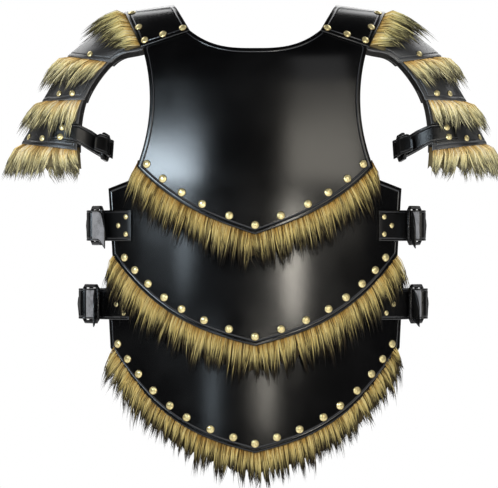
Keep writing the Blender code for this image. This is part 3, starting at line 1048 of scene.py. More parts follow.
@dataclass(frozen=True)
class LeatherPanel(ABC):
    """A wall of leather that lies on a form, with a finished edge all round.

    Its name is also that of the node that it replaces, and its columns and rows
    are the faces between the finished edges.
    """

    name: str
    columns: int
    rows: int
    _: KW_ONLY
    rim: Rim = Rim()
    samples: int = 33
    inner_rounding: float = 0.45
    sharp: float = 65.0

    @abstractmethod
    def skin(self, across: float, down: float) -> Skin:
        """Point of the outer face and its normal, from shares of 0 to 1."""

    def border_point(self, upright: bool, inner: float, along: float) -> Vector:
        """Point at a share in from an upright or a level border and one along it."""
        return self.skin(inner, along)[0] if upright else self.skin(along, inner)[0]

    def border_speed(self, upright: bool, end: float) -> np.ndarray:
        """Distance from one border for a unit of share.

        Args:
            upright: Whether the border runs down the panel.
            end: Share at which it lies, 0 or 1.

        Returns:
            The distances at samples along the border.
        """
        step = 0.01
        row = []
        for share in np.linspace(0, 1, self.samples):
            line = (self.border_point(upright, end, min(share + step, 1))
                    - self.border_point(upright, end, max(share - step, 0))).normalized()
            away = (self.border_point(upright, end + step * (1 - 2 * end), share)
                    - self.border_point(upright, end, share))
            row.append((away - line * away.dot(line)).length / step)
        return np.array(row)

    def place_lines(self, count: int, low: np.ndarray, high: np.ndarray) -> np.ndarray:
        """Shares of the mesh's lines between two borders.

        Args:
            count: Faces between the finished edges.
            low: Border speeds at share 0, one for each line that crosses.
            high: Border speeds at share 1.

        Returns:
            An array of lines by crossing lines.
        """
        stops = self.rim.stops()[:, None]
        first, last = stops / low, 1 - stops[::-1] / high
        inner = np.linspace(0, 1, count + 1)[1:-1, None]
        middle = first[-1] + (last[0] - first[-1]) * inner
        return np.vstack((first, middle, last))

    def lay_out(self) -> tuple[np.ndarray, np.ndarray, np.ndarray]:
        """Shares across and down, and distance from the edge, of each vertex.

        Returns:
            Three arrays of rows by columns.
        """
        left, right, top, bottom = (
            partial(np.interp, xp=np.linspace(0, 1, self.samples),
                    fp=self.border_speed(upright, end))
            for upright in (True, False) for end in (0.0, 1.0))
        down = np.linspace(0, 1, self.rows + 2 * len(self.rim.stops()) - 1)
        across = self.place_lines(self.columns, left(down), right(down)).T
        for _ in range(2):
            grid = np.stack([self.place_lines(self.rows, top(line), bottom(line)).diagonal()
                             for line in across.T], axis=1)
            across = np.stack([self.place_lines(self.columns, left(line), right(line)).diagonal()
                               for line in grid])
        edge = np.minimum.reduce([across * left(grid), (1 - across) * right(grid),
                                  grid * top(across), (1 - grid) * bottom(across)])
        return across, grid, edge

    def sag(self, point: Vector) -> float:
        """Slow unevenness of the hide, the same for all layers at a place."""
        return 0.0

    def build(self, outside: Material, inside: Material) -> None:
        """Make the panel.

        Args:
            outside: Finish of the grain side and of the cut edge.
            inside: Finish of the flesh side.
        """
        across, down, edge = self.lay_out()
        rise = self.rim.height(edge)
        inner_rise = self.inner_rounding * rise * (edge < self.rim.width)
        grid = DoubleGrid(edge.shape[1] - 1, edge.shape[0] - 1)
        inner = {}
        for vert in set(grid.bm.verts) - grid.under:
            place = grid.place(vert)
            point, normal = self.skin(across[place], down[place])
            lift = self.sag(point)
            vert.co = point + normal * (float(rise[place]) + lift)
            vert[grid.mark] = self.rim.mark(edge[place])
            inner[place] = point - normal * (LAYERS.leather + float(inner_rise[place]) - lift)
        for vert in grid.under:
            vert.co = inner[grid.place(vert)]
            vert[grid.mark] = 1.0
        for face in grid.bm.faces:
            face.material_index = int(all(vert in grid.under for vert in face.verts))
        face_outwards(grid.bm)
        piece = seal(self.name + DRESSED, grid.bm, (outside, inside), self.sharp)
        register(piece, Slot.LEATHER, self.name)


@dataclass(frozen=True)
class BodyPanel(LeatherPanel):
    """A plate or lame of the body.

    Its place gives X and Z from shares across (-1 to 1) and down, and its layer
    is how many plates lie over it.
    """

    torso: TorsoForm
    face: Face
    place: Callable[[float, float], tuple[float, float]]
    layer: int
    sag_depth: float = 0.0004
    waves_across: float = 9.0
    waves_down: float = 5.0
    back_waves: float = 3.0

    def skin(self, across: float, down: float) -> Skin:
        """Point of the outer face and its normal."""
        x, z = self.place(2 * across - 1, down)
        return self.torso.skin(x, z, -self.layer * LAYERS.pitch, self.face)

    def sag(self, point: Vector) -> float:
        """Slow unevenness of the hide."""
        half = self.back_waves if self.face.is_back else 0.0
        place = (point.x * self.waves_across, half, point.z * self.waves_down)
        return self.sag_depth * noise.noise(Vector(place))


@dataclass(frozen=True)
class SleevePanel(LeatherPanel):
    """The yoke, as number 0, or one of the arm's lames, from 1 to 3."""

    sleeve: SleeveForm
    side: Side
    number: int
    lap: float = 0.28
    yoke_lap: float = 0.20

    def skin(self, across: float, down: float) -> Skin:
        """Point of the outer face and its normal.

        Args:
            across: Share from the front to the back.
            down: Share down.

        Returns:
            The point and its normal.
        """
        around = 2 * across - 1
        if self.number == 0:
            top = -1.0
        elif self.number == 1:
            top = -self.yoke_lap * (1 - around * around)
        else:
            top = self.number - 1 - self.lap
        along = lerp(top, float(self.number), down)
        lift = -self.sleeve.inset(self.number, along)
        return self.sleeve.skin(along, around, lift, self.side)


@dataclass(frozen=True)
class Dome:
    """A domed rivet cap: its section as radius and height, in millimetres."""

    section: Pairs = (
        (0.0, 2.9), (1.7, 2.80), (3.2, 2.42), (4.5, 1.72), (5.4, 0.95), (5.9, 0.35),
        (6.0, 0.0), (5.5, -0.35), (0.0, -0.35))
    steps: int = 18
    # radius past which the cap takes the dark ring of painted shadow
    foot: float = 0.0052

    def mesh(self) -> bpy.types.Mesh:
        """Closed mesh of one cap, along +Z, with its seat at the origin.

        Returns:
            The mesh.
        """
        bm = bmesh.new()
        verts = [bm.verts.new(Vector((radius, 0, rise)) * MM) for radius, rise in self.section]
        edges = [bm.edges.new(pair) for pair in zip(verts, verts[1:])]
        bmesh.ops.spin(bm, geom=verts + edges, cent=(0, 0, 0), axis=(0, 0, 1),
                       angle=math.tau, steps=self.steps, use_merge=True)
        bmesh.ops.remove_doubles(bm, verts=bm.verts, dist=1e-7)
        bmesh.ops.recalc_face_normals(bm, faces=bm.faces)
        for face in bm.faces:
            face.material_index = int(face.calc_center_median().to_2d().length > self.foot)
        return to_mesh("rivet_cap", bm)


@dataclass(frozen=True)
class RivetSet:
    """Rivets of one size that are joined into one piece."""

    name: str
    seats: Sequence[Skin]
    scale: float = 1.0
    cap: Dome = Dome()
    sharp: float = 40.0

    def build(self, palette: Palette) -> None:
        """Make the piece.

        Args:
            palette: Finishes of the jacket.
        """
        bm = bmesh.new()
        cap = self.cap.mesh()
        for point, normal in self.seats:
            before = len(bm.verts)
            bm.from_mesh(cap)
            bm.verts.ensure_lookup_table()
            turn = normal.to_track_quat("Z", "Y").to_matrix().to_4x4()
            matrix = Matrix.Translation(point) @ turn @ Matrix.Scale(self.scale, 4)
            bmesh.ops.transform(bm, matrix=matrix, verts=bm.verts[before:])
        bpy.data.meshes.remove(cap)
        finishes = (palette.brass, palette.brass_foot)
        register(seal(self.name, bm, finishes, self.sharp), Slot.BUCKLE)


@dataclass(frozen=True)
class Pile:
    """How the hair of a strip grows: in tufts, which lean together in locks."""

    length: float
    per_metre: float = 9000.0
    root_radius: float = 0.00044
    bulge: float = 0.0085
    root_start: float = -0.004
    root_band: float = 0.008
    tuft_pitch: float = 0.0032
    tuft_pull: float = 0.60
    lock_pitch: float = 0.011
    lock_pull: float = 0.22
    lock_spread: float = 0.12
    sway: float = 0.0035
    stray: float = 0.0016
    guard_share: float = 0.20
    guard_length: float = 1.30
    guard_radius: float = 1.35
    flare: float = 0.0


@dataclass
class FurStrip(ABC):
    """A strip of fur that hangs from under a lower edge."""

    name: str
    pile: Pile
    seed: int
    _: KW_ONLY
    lap: float = 0.012
    columns: int = 120
    rows: int = 12
    reach: float = 2.1
    ring_shares: tuple[float, ...] = (0.0, 0.34, 0.70)
    ring_widths: tuple[float, ...] = (0.8, 1.0, 0.85)
    map_step: float = 0.004
    coat_columns: int = 90
    coat_rows: int = 6

    def __post_init__(self) -> None:
        """Start the random draws."""
        self.draw = np.random.default_rng(self.seed)

    @abstractmethod
    def skin(self, across: float, away: float) -> tuple[Vector, Vector, float, float]:
        """Outer face of the form below the edge.

        Args:
            across: Share along the strip.
            away: Distance below the edge.

        Returns:
            The point, its normal, and the lifts of the strip's backing and of
            the leather that it lies on.
        """

    def fullness(self, across: np.ndarray) -> np.ndarray:
        """Share of the pile's full length at places along the strip."""
        return np.ones_like(across)

    def sample(self) -> None:
        """Read the form on a grid that every strand then uses."""
        self.aways = np.linspace(-self.lap, self.pile.length * self.reach, self.rows)
        self.form = np.zeros((self.columns, self.rows, 8))
        for i, across in enumerate(np.linspace(0, 1, self.columns)):
            for j, away in enumerate(self.aways):
                point, normal, backing, floor = self.skin(float(across), float(away))
                self.form[i, j] = (*point, *normal, backing, floor)
        steps = np.diff(self.form[:, 2, :3], axis=0)
        self.run = float(np.linalg.norm(steps, axis=1).sum())

    def read(self, across: np.ndarray, away: np.ndarray) -> Arrays:
        """Read the form between the points of its grid.

        Args:
            across: Shares along the strip.
            away: Distances below the edge.

        Returns:
            Points, normals, and lifts of the backing and of the leather below.
        """
        u = np.clip(across, 0, 1) * (self.columns - 1)
        v = np.clip((away - self.aways[0]) / (self.aways[-1] - self.aways[0]), 0, 1)
        v = v * (self.rows - 1)
        i = np.minimum(u.astype(int), self.columns - 2)
        j = np.minimum(v.astype(int), self.rows - 2)
        fu, fv = (u - i)[..., None], (v - j)[..., None]
        form = self.form
        found = (form[i, j] * (1 - fu) * (1 - fv) + form[i + 1, j] * fu * (1 - fv)
                 + form[i, j + 1] * (1 - fu) * fv + form[i + 1, j + 1] * fu * fv)
        return found[..., :3], found[..., 3:6], found[..., 6], found[..., 7]

    def scatter(self, pitch: float) -> np.ndarray:
        """Uneven places along the strip, one for about every pitch."""
        count = max(round(self.run / pitch), 3)
        return (np.arange(count) + self.draw.uniform(0.1, 0.9, count)) / count

    def grow(self) -> Arrays:
        """Lay out every strand.

        Returns:
            Centre points (strand, ring, 3) with the tip last, the form's normals
            there, and the radius and the shade of each strand.
        """
        pile, draw = self.pile, self.draw
        count = int(pile.per_metre * self.run)
        tufts, locks = self.scatter(pile.tuft_pitch), self.scatter(pile.lock_pitch)
        across = draw.uniform(0, 1, count)
        tuft = np.abs(across[:, None] - tufts[None, :]).argmin(axis=1)
        lock = np.abs(tufts[tuft][:, None] - locks[None, :]).argmin(axis=1)
        layer = draw.uniform(0, 1, count)
        guard = draw.uniform(0, 1, count) < pile.guard_share
        spread = pile.lock_spread
        length = (pile.length * self.fullness(across)
                  * draw.uniform(1 - spread, 1 + spread, len(locks))[lock]
                  * draw.uniform(0.90, 1.10, len(tufts))[tuft] * draw.uniform(0.80, 1.04, count)
                  * np.where(guard, pile.guard_length, 1.0) * (0.78 + 0.22 * layer))
        root = pile.root_start + pile.root_band * (1 - layer) * draw.uniform(0, 1, count)
        shares = np.array((*self.ring_shares, 1.0))[None, :]
        away = root[:, None] + shares * length[:, None]
        gather = (tufts[tuft] - across) * pile.tuft_pull * draw.uniform(0.5, 1.2, count)
        tuft_sway = draw.normal(0, pile.stray / self.run, len(tufts))[tuft]
        lock_sway = draw.normal(0, pile.sway / self.run, len(locks))[lock]
        stray = draw.normal(0, pile.stray / self.run, count)
        drift = (gather + tuft_sway + stray)[:, None] * shares ** 1.2
        bend = (locks[lock] - across) * pile.lock_pull + lock_sway
        drift = drift + bend[:, None] * shares ** 2.4
        base, normal, backing, floor = self.read(across[:, None] + drift, away)
        hump = (pile.bulge * (0.25 + 0.75 * layer))[:, None] * np.sin(np.pi * shares ** 0.8)
        settle = 0.0006 + 0.0045 * layer[:, None] * draw.uniform(0.3, 1.0, count)[:, None]
        free = np.clip(away / 0.006, 0, 1)
        lift = backing * (1 - shares ** 0.7) + (floor + settle) * shares ** 0.7 + hump * free
        lift = lift + pile.flare * shares ** 2 * layer[:, None]
        lift = np.maximum(lift, floor + 0.0005)
        lift = np.where(away < 0.0005, np.minimum(lift, backing + 0.0003), lift)
        radius = pile.root_radius * draw.uniform(0.7, 1.25, count)
        radius = radius * np.where(guard, pile.guard_radius, 1.0)
        mixed = 0.4 * draw.uniform(0, 1, len(tufts))[tuft] + 0.6 * draw.uniform(0, 1, count)
        shade = 0.06 + 0.92 * np.clip(1.7 * (mixed - 0.5) + 0.5, 0, 1)
        return base + normal * lift[..., None], normal, radius, shade

    def strand_mesh(self) -> Arrays:
        """Closed three-sided spikes for every strand.

        Returns:
            Vertices, triangle and quad corners as one padded array, and map
            coordinates of each corner.
        """
        centre, normal, radius, shade = self.grow()
        count, rings = len(centre), len(self.ring_shares)
        tangent = centre[:, 1:] - centre[:, [0, *range(rings - 1)]]
        tangent /= np.linalg.norm(tangent, axis=2, keepdims=True)
        side = np.cross(tangent, normal[:, :rings])
        side /= np.linalg.norm(side, axis=2, keepdims=True)
        up = np.cross(side, tangent)
        widths = np.array(self.ring_widths)[None, :, None]
        turn = self.draw.uniform(0, math.tau, count)[:, None]
        angle = (turn + np.arange(3) * math.tau / 3)[:, None, :, None]
        offset = np.cos(angle) * side[:, :, None] + np.sin(angle) * up[:, :, None]
        offset *= (radius[:, None, None] * widths)[..., None]
        verts = (centre[:, :rings, None] + offset).reshape(count, rings * 3, 3)
        verts = np.concatenate((verts, centre[:, rings:]), axis=1)
        pattern, places = self.strand_pattern()
        starts = (np.arange(count) * (rings * 3 + 1))[:, None, None]
        faces = np.where(pattern[None] < 0, -1, pattern[None] + starts)
        maps = places[None] + np.zeros((count, 1, 1, 1))
        maps[..., 0] += shade[:, None, None]
        return verts.reshape(-1, 3), faces.reshape(-1, 4), maps.reshape(-1, 4, 2)

    def strand_pattern(self) -> Arrays:
        """Faces of one strand: quads up to its last ring, then the tip, then the foot.

        Returns:
            Corners of its faces, padded with -1, and their map coordinates.
        """
        tip, step, along = len(self.ring_shares) * 3, self.map_step, self.ring_shares
        faces, places = [], []
        for corner in range(3):
            after = (corner + 1) % 3
            left, right = corner * step, (corner + 1) * step
            for ring, (near, far) in enumerate(zip(along, along[1:])):
                low, high = ring * 3, ring * 3 + 3
                faces.append((low + corner, low + after, high + after, high + corner))
                places.append(((left, near), (right, near), (right, far), (left, far)))
            faces.append((tip - 3 + corner, tip - 3 + after, tip, -1))
            places.append(((left, along[-1]), (right, along[-1]),
                           (lerp(left, right, 0.5), 1.0), (0.0, 0.0)))
        faces.append((2, 1, 0, -1))
        places.append(((0.0, 0.0), (step, 0.0), (step / 2, 0.01), (0.0, 0.0)))
        return np.array(faces), np.array(places)

    def undercoat(self) -> Arrays:
        """Matted hair under the strands, as a thin closed sheet.

        Returns:
            Vertices, face corners and map coordinates, as for the strands.
        """
        grid = DoubleGrid(self.coat_columns, self.coat_rows)
        bm = grid.bm
        across = np.array([vert.co.x + 0.5 for vert in bm.verts])
        down = np.clip([0.5 - vert.co.y for vert in bm.verts], 0, 1)
        is_under = np.array([vert in grid.under for vert in bm.verts])
        metres = across * self.run
        ragged = 0.62 + 0.08 * np.sin(metres * 520) + 0.05 * np.sin(metres * 1310)
        length = self.pile.length * self.fullness(across)
        away = -self.lap * 0.6 + down * (length * ragged + self.lap * 0.6)
        base, normal, backing, floor = self.read(across, away)
        low = floor + 0.0004
        high = lerp(backing - 0.0004, floor + 0.0012, down ** 1.5)
        high = high + 0.45 * self.pile.bulge * np.sin(np.pi * down) * (away > 0)
        lift = np.where(is_under, low, np.maximum(high, low + 0.0006))
        for vert, point in zip(bm.verts, base + normal * lift[:, None]):
            vert.co = point
        face_outwards(bm)
        bm.verts.index_update()
        faces = np.array([[vert.index for vert in face.verts] for face in bm.faces])
        verts = np.array([vert.co[:] for vert in bm.verts])
        bm.free()
        maps = np.stack((0.004 + 0.03 * across[faces], 0.05 + 0.6 * down[faces]), axis=2)
        return verts, faces, maps

    def build(self, hair: Material, *nodes: str) -> None:
        """Make the strip: its undercoat and all its strands, as one piece.

        Args:
            hair: Finish of the fur.
            *nodes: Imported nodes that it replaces.
        """
        self.sample()
        verts, faces, maps = self.strand_mesh()
        coat_verts, coat_faces, coat_maps = self.undercoat()
        faces = np.concatenate((faces, coat_faces + len(verts)))
        verts = np.concatenate((verts, coat_verts))
        maps = np.concatenate((maps, coat_maps))
        used = faces >= 0
        sizes = used.sum(axis=1)
        starts = np.concatenate(((0,), np.cumsum(sizes)[:-1]))
        mesh = bpy.data.meshes.new(self.name + DRESSED)
        mesh.vertices.add(len(verts))
        mesh.vertices.foreach_set("co", verts.astype(np.float32).ravel())
        mesh.loops.add(int(sizes.sum()))
        mesh.loops.foreach_set("vertex_index", faces[used].astype(np.int32))
        mesh.polygons.add(len(faces))
        mesh.polygons.foreach_set("loop_start", starts.astype(np.int32))
        mesh.polygons.foreach_set("loop_total", sizes.astype(np.int32))
        layer = mesh.uv_layers.new(name=STRAND_MAP)
        layer.data.foreach_set("uv", maps[used].astype(np.float32).ravel())
        mesh.update(calc_edges=True)
        mesh.validate()
        mesh.materials.append(hair)
        mesh.shade_smooth()
        register(put_in_scene(self.name + DRESSED, mesh), Slot.FUR, *nodes)


@dataclass
class BodyFur(FurStrip):
    """Fur under a plate or lame of the body; its layer is how many lie over that."""

    torso: TorsoForm
    face: Face
    edge: VEdge
    layer: int
    lean: float = 0.38
    overhang: float = 1.015
    strap_room: float = 0.0062

    def skin(self, across: float, away: float) -> tuple[Vector, Vector, float, float]:
        """Form below the edge, which hangs straighter than the edge's own normal.

        Args:
            across: Share along the strip.
            away: Distance below the edge.

        Returns:
            The point, its normal, and the lifts of backing and leather.
        """
        x = self.edge.half_width * self.overhang * (2 * across - 1)
        lean = self.lean * math.atan(self.edge.slope(x))
        point, normal = self.torso.skin(
            x + away * math.sin(lean), self.edge.height(x) - away * math.cos(lean), 0.0, self.face)
        depth = self.layer * LAYERS.pitch
        backing = -(depth + LAYERS.leather + LAYERS.gap * LAYERS.fur_play)
        over_straps = self.strap_room * min(max(away / self.pile.length, 0) * 1.4, 1)
        floor = -(depth + LAYERS.pitch) + over_straps
        return point, normal, backing, floor


@dataclass
class SleeveFur(FurStrip):
    """Fur under the yoke, as number 0, or under a lame of the arm."""

    sleeve: SleeveForm
    side: Side
    number: int
    # for the yoke and for each lame: how far round the strip runs, and the
    # length at its corners as a share of the full length
    spans: tuple[float, ...] = (0.96, 0.93, 0.95, 0.99)
    corner_lengths: tuple[float, ...] = (1.12, 1.12, 1.00, 0.74)

    @cached_property
    def pace(self) -> float:
        """Metres for a unit of place along the sleeve, just below the edge."""
        return self.sleeve.pace(self.number + 0.01, self.number + 0.11)

    def fullness(self, across: np.ndarray) -> np.ndarray:
        """Longest over the outside of the arm, and shorter towards both corners."""
        corner = self.corner_lengths[self.number]
        return 1 - (1 - corner) * np.abs(2 * across - 1) ** 2.5

    def skin(self, across: float, away: float) -> tuple[Vector, Vector, float, float]:
        """Form below the edge, which follows the sleeve.

        Args:
            across: Share along the strip.
            away: Distance below the edge.

        Returns:
            The point, its normal, and the lifts of backing and leather.
        """
        around = self.spans[self.number] * (2 * across - 1)
        along = self.number + away / self.pace
        point, normal = self.sleeve.skin(along, around, 0.0, self.side)
        above = self.sleeve.inset(self.number, min(along, self.number))
        backing = -(above + LAYERS.leather + LAYERS.gap * LAYERS.fur_play)
        floor = -self.sleeve.inset(self.number + 1, along)
        return point, normal, backing, floor


@dataclass(frozen=True)
class TorsoArmour:
    """The plate, the lames, their fur and their rivets on one half of the body."""

    torso: TorsoForm
    cut: BodyCut
    face: Face
    palette: Palette
    # how far each rivet lies from the middle, in millimetres
    rivet_rows: tuple[tuple[float, ...], ...] = (
        (0, 38, 76, 105, 132, 155),
        (0, 38, 73, 105, 130, 153, 172, 187),
        (0, 32, 64, 98, 122, 146, 167, 183, 197),
    )
    rivet_inset: float = 0.0130
    fur_lengths: tuple[float, ...] = (0.050, 0.051, 0.046)
    plate_fur: Pile = Pile(0.0, per_metre=9200.0, root_radius=0.00038, lock_spread=0.09,
                           lock_pull=0.15, tuft_pull=0.50)
    hem_fur: Pile = Pile(0.0, per_metre=9200.0, root_radius=0.00038, lock_spread=0.18,
                         lock_pull=0.70, tuft_pull=0.75, guard_length=1.22)
    front_seed: int = 20
    back_seed: int = 40

    @property
    def edges(self) -> tuple[VEdge, ...]:
        """The three lower edges, from the top down."""
        return self.cut.breast_edge, self.cut.belly_edge, self.cut.hip_edge

    def name(self, front: str, back: str = "") -> str:
        """Name of a part on this half."""
        return (back or "back_" + front) if self.face.is_back else front

    def panels(self) -> list[BodyPanel]:
        """The plate and its two lames.

        Returns:
            The panels, from the top down.
        """
        cut, torso, face = self.cut, self.torso, self.face
        breast, belly, hip = self.edges
        belly_place = partial(cut.lame_place, breast, belly, cut.belly_half_width)
        hip_place = partial(cut.lame_place, belly, hip, cut.hip_half_width)
        plate, upper, lower = (self.name("breastplate", "back_plate"),
                               self.name("belly_lame"), self.name("hip_lame"))
        return [BodyPanel(plate, 44, 34, torso, face, cut.breast_place, 0),
                BodyPanel(upper, 50, 18, torso, face, belly_place, 1),
                BodyPanel(lower, 50, 20, torso, face, hip_place, 2)]

    def rivet_seat(self, layer: int, x: float) -> Skin:
        """Seat of a rivet inside a lower edge.

        Args:
            layer: Number of the edge, from the top.
            x: Place on the edge.

        Returns:
            The point on the leather and its normal.
        """
        edge = self.edges[layer]
        x_in = x - self.rivet_inset * math.sin(math.atan(edge.slope(x))) * 0.5
        z = edge.height(x_in) + self.rivet_inset / math.cos(math.atan(edge.slope(x_in)))
        return self.torso.skin(x_in, z, -layer * LAYERS.pitch, self.face)

    def rivets(self) -> None:
        """Make the rivets along the three lower edges."""
        names = (self.name("breast_rivets", "back_plate_rivets"),
                 self.name("belly_rivets"), self.name("hip_rivets"))
        for layer, (name, row) in enumerate(zip(names, self.rivet_rows)):
            seats = [self.rivet_seat(layer, way * offset * MM)
                     for offset in row for way in ((-1, 1) if offset else (1,))]
            RivetSet(name, seats).build(self.palette)

    def build(self) -> None:
        """Make every piece of this half."""
        for panel in self.panels():
            panel.build(self.palette.hide, self.palette.lining)
        self.rivets()
        names = (self.name("breast_fur", "back_fur"), self.name("belly_fur"),
                 self.name("hip_fur"))
        piles = (self.plate_fur, self.plate_fur, self.hem_fur)
        seed = self.back_seed if self.face.is_back else self.front_seed
        for layer, (name, pile, length) in enumerate(zip(names, piles, self.fur_lengths)):
            strip = BodyFur(name, replace(pile, length=length), seed + layer, self.torso,
                            self.face, self.edges[layer], layer)
            strip.build(self.palette.fur, name)


@dataclass(frozen=True)
class ArmArmour:
    """The yoke, the lames, their fur and their rivets on one side."""

    sleeve: SleeveForm
    side: Side
    palette: Palette
    levels: tuple[str, ...] = ("upper", "middle", "lower")
    rivet_inset: float = 0.0110
    # where rivets show round each lame, from the outside at 0 to a corner at 1
    lame_rivets: tuple[tuple[float, ...], ...] = ((0.60,), (0.76, 0.53), (0.54, 0.27))
    # where rivets lie on the yoke: across it from the neck, and round it
    yoke_rivets: Pairs = (
        (-0.90, 0.93), (-0.50, 0.93), (-0.13, 0.93), (-0.13, 0.70), (-0.13, 0.28))
    fur_lengths: tuple[float, ...] = (0.050, 0.053, 0.046, 0.050)
    pile: Pile = Pile(0.0, per_metre=8200.0, bulge=0.010, tuft_pitch=0.0042,
                      tuft_pull=0.85, lock_pitch=0.012, lock_pull=0.70, lock_spread=0.16,
                      sway=0.005, root_radius=0.00050, flare=0.012)
    left_seed: int = 60
    right_seed: int = 80

    def name(self, part: str) -> str:
        """Name of a part on this side."""
        return part + "_" + self.side.value

    def seats(self, number: int, places: Pairs) -> list[Skin]:
        """Seats of rivets on the yoke or on a lame.

        Args:
            number: 0 for the yoke, and 1 to 3 for the lames.
            places: Where they lie along the sleeve, and how far round it both ways.

        Returns:
            Points on the leather and their normals.
        """
        return [self.sleeve.skin(along, around * way, -self.sleeve.inset(number, along),
                                 self.side)
                for along, around in places for way in (-1, 1)]

    def rivets(self) -> None:
        """Make the rivets of the yoke and of the lames."""
        seats = self.seats(0, self.yoke_rivets)
        RivetSet(self.name("yoke_rivets"), seats, 0.95).build(self.palette)
        for number, (level, places) in enumerate(zip(self.levels, self.lame_rivets), start=1):
            along = number - self.rivet_inset / self.sleeve.pace(number - 0.1, number)
            seats = self.seats(number, [(along, around) for around in places])
            RivetSet(self.name("arm_rivets_" + level), seats, 0.78).build(self.palette)

    def build(self) -> None:
        """Make every piece of this side."""
        palette = self.palette
        lames = ["arm_lame_" + level for level in self.levels]
        for number, part in enumerate(["yoke", *lames]):
            panel = SleevePanel(self.name(part), 44, 14, self.sleeve, self.side, number)
            panel.build(palette.worn_hide if number else palette.hide, palette.lining)
        self.rivets()
        furs = ["arm_fur_" + level for level in self.levels]
        seed = self.left_seed if self.side is Side.LEFT else self.right_seed
        for number, (part, length) in enumerate(zip(["yoke_fur", *furs], self.fur_lengths)):
            strip = SleeveFur(self.name(part), replace(self.pile, length=length),
                              seed + number, self.sleeve, self.side, number)
            strip.build(palette.arm_fur if number else palette.yoke_fur, strip.name)


@dataclass(frozen=True)
class StrapSizes:
    """Sizes that every buckled closure shares."""

    lap: float = 0.044
    bar: float = 0.005
    bar_gap: float = 0.0006
    spacing: float = 0.017
    turn_back: float = 0.037
    stand_off: float = 1.15
    fold: float = 0.020
    # where the doubled-back end starts to narrow, and how far at its two corners
    tip_start: float = 0.45
    tip_cuts: tuple[float, float] = (0.12, 0.62)
    corner_cut: float = 0.6
    bar_rounding: float = 0.30
    rim: Rim = Rim(drop=0.0009, width=0.0011, line_inset=0.0031, line_depth=0.0004,
                   line_half=0.0005)
    # distances from a strap's edge at which its mesh has a line of vertices
    rim_lines: tuple[float, ...] = (0.0, 0.0004, 0.0011, 0.0026, 0.0031, 0.0036, 0.0055)
    # steps along the doubled-back end, and in a turn round a bar
    end_steps: int = 8
    turn_steps: int = 12
    # share of its thickness that a strap keeps where it ends
    end_thickness: float = 0.55
    # how far past the frame's start it aims, and the back strap leaves the curve
    aim_step: float = 0.22
    back_step: float = 0.35
    # the roller's radius in bars, and its length in strap widths
    roller_radius: float = 0.66
    roller_length: float = 0.94

    @property
    def turn(self) -> float:
        """Radius at which the middle of a strap turns round a bar."""
        return self.bar * math.sqrt(0.5) + self.bar_gap + LAYERS.strap / 2


Lap = Callable[[float, float], Vector]


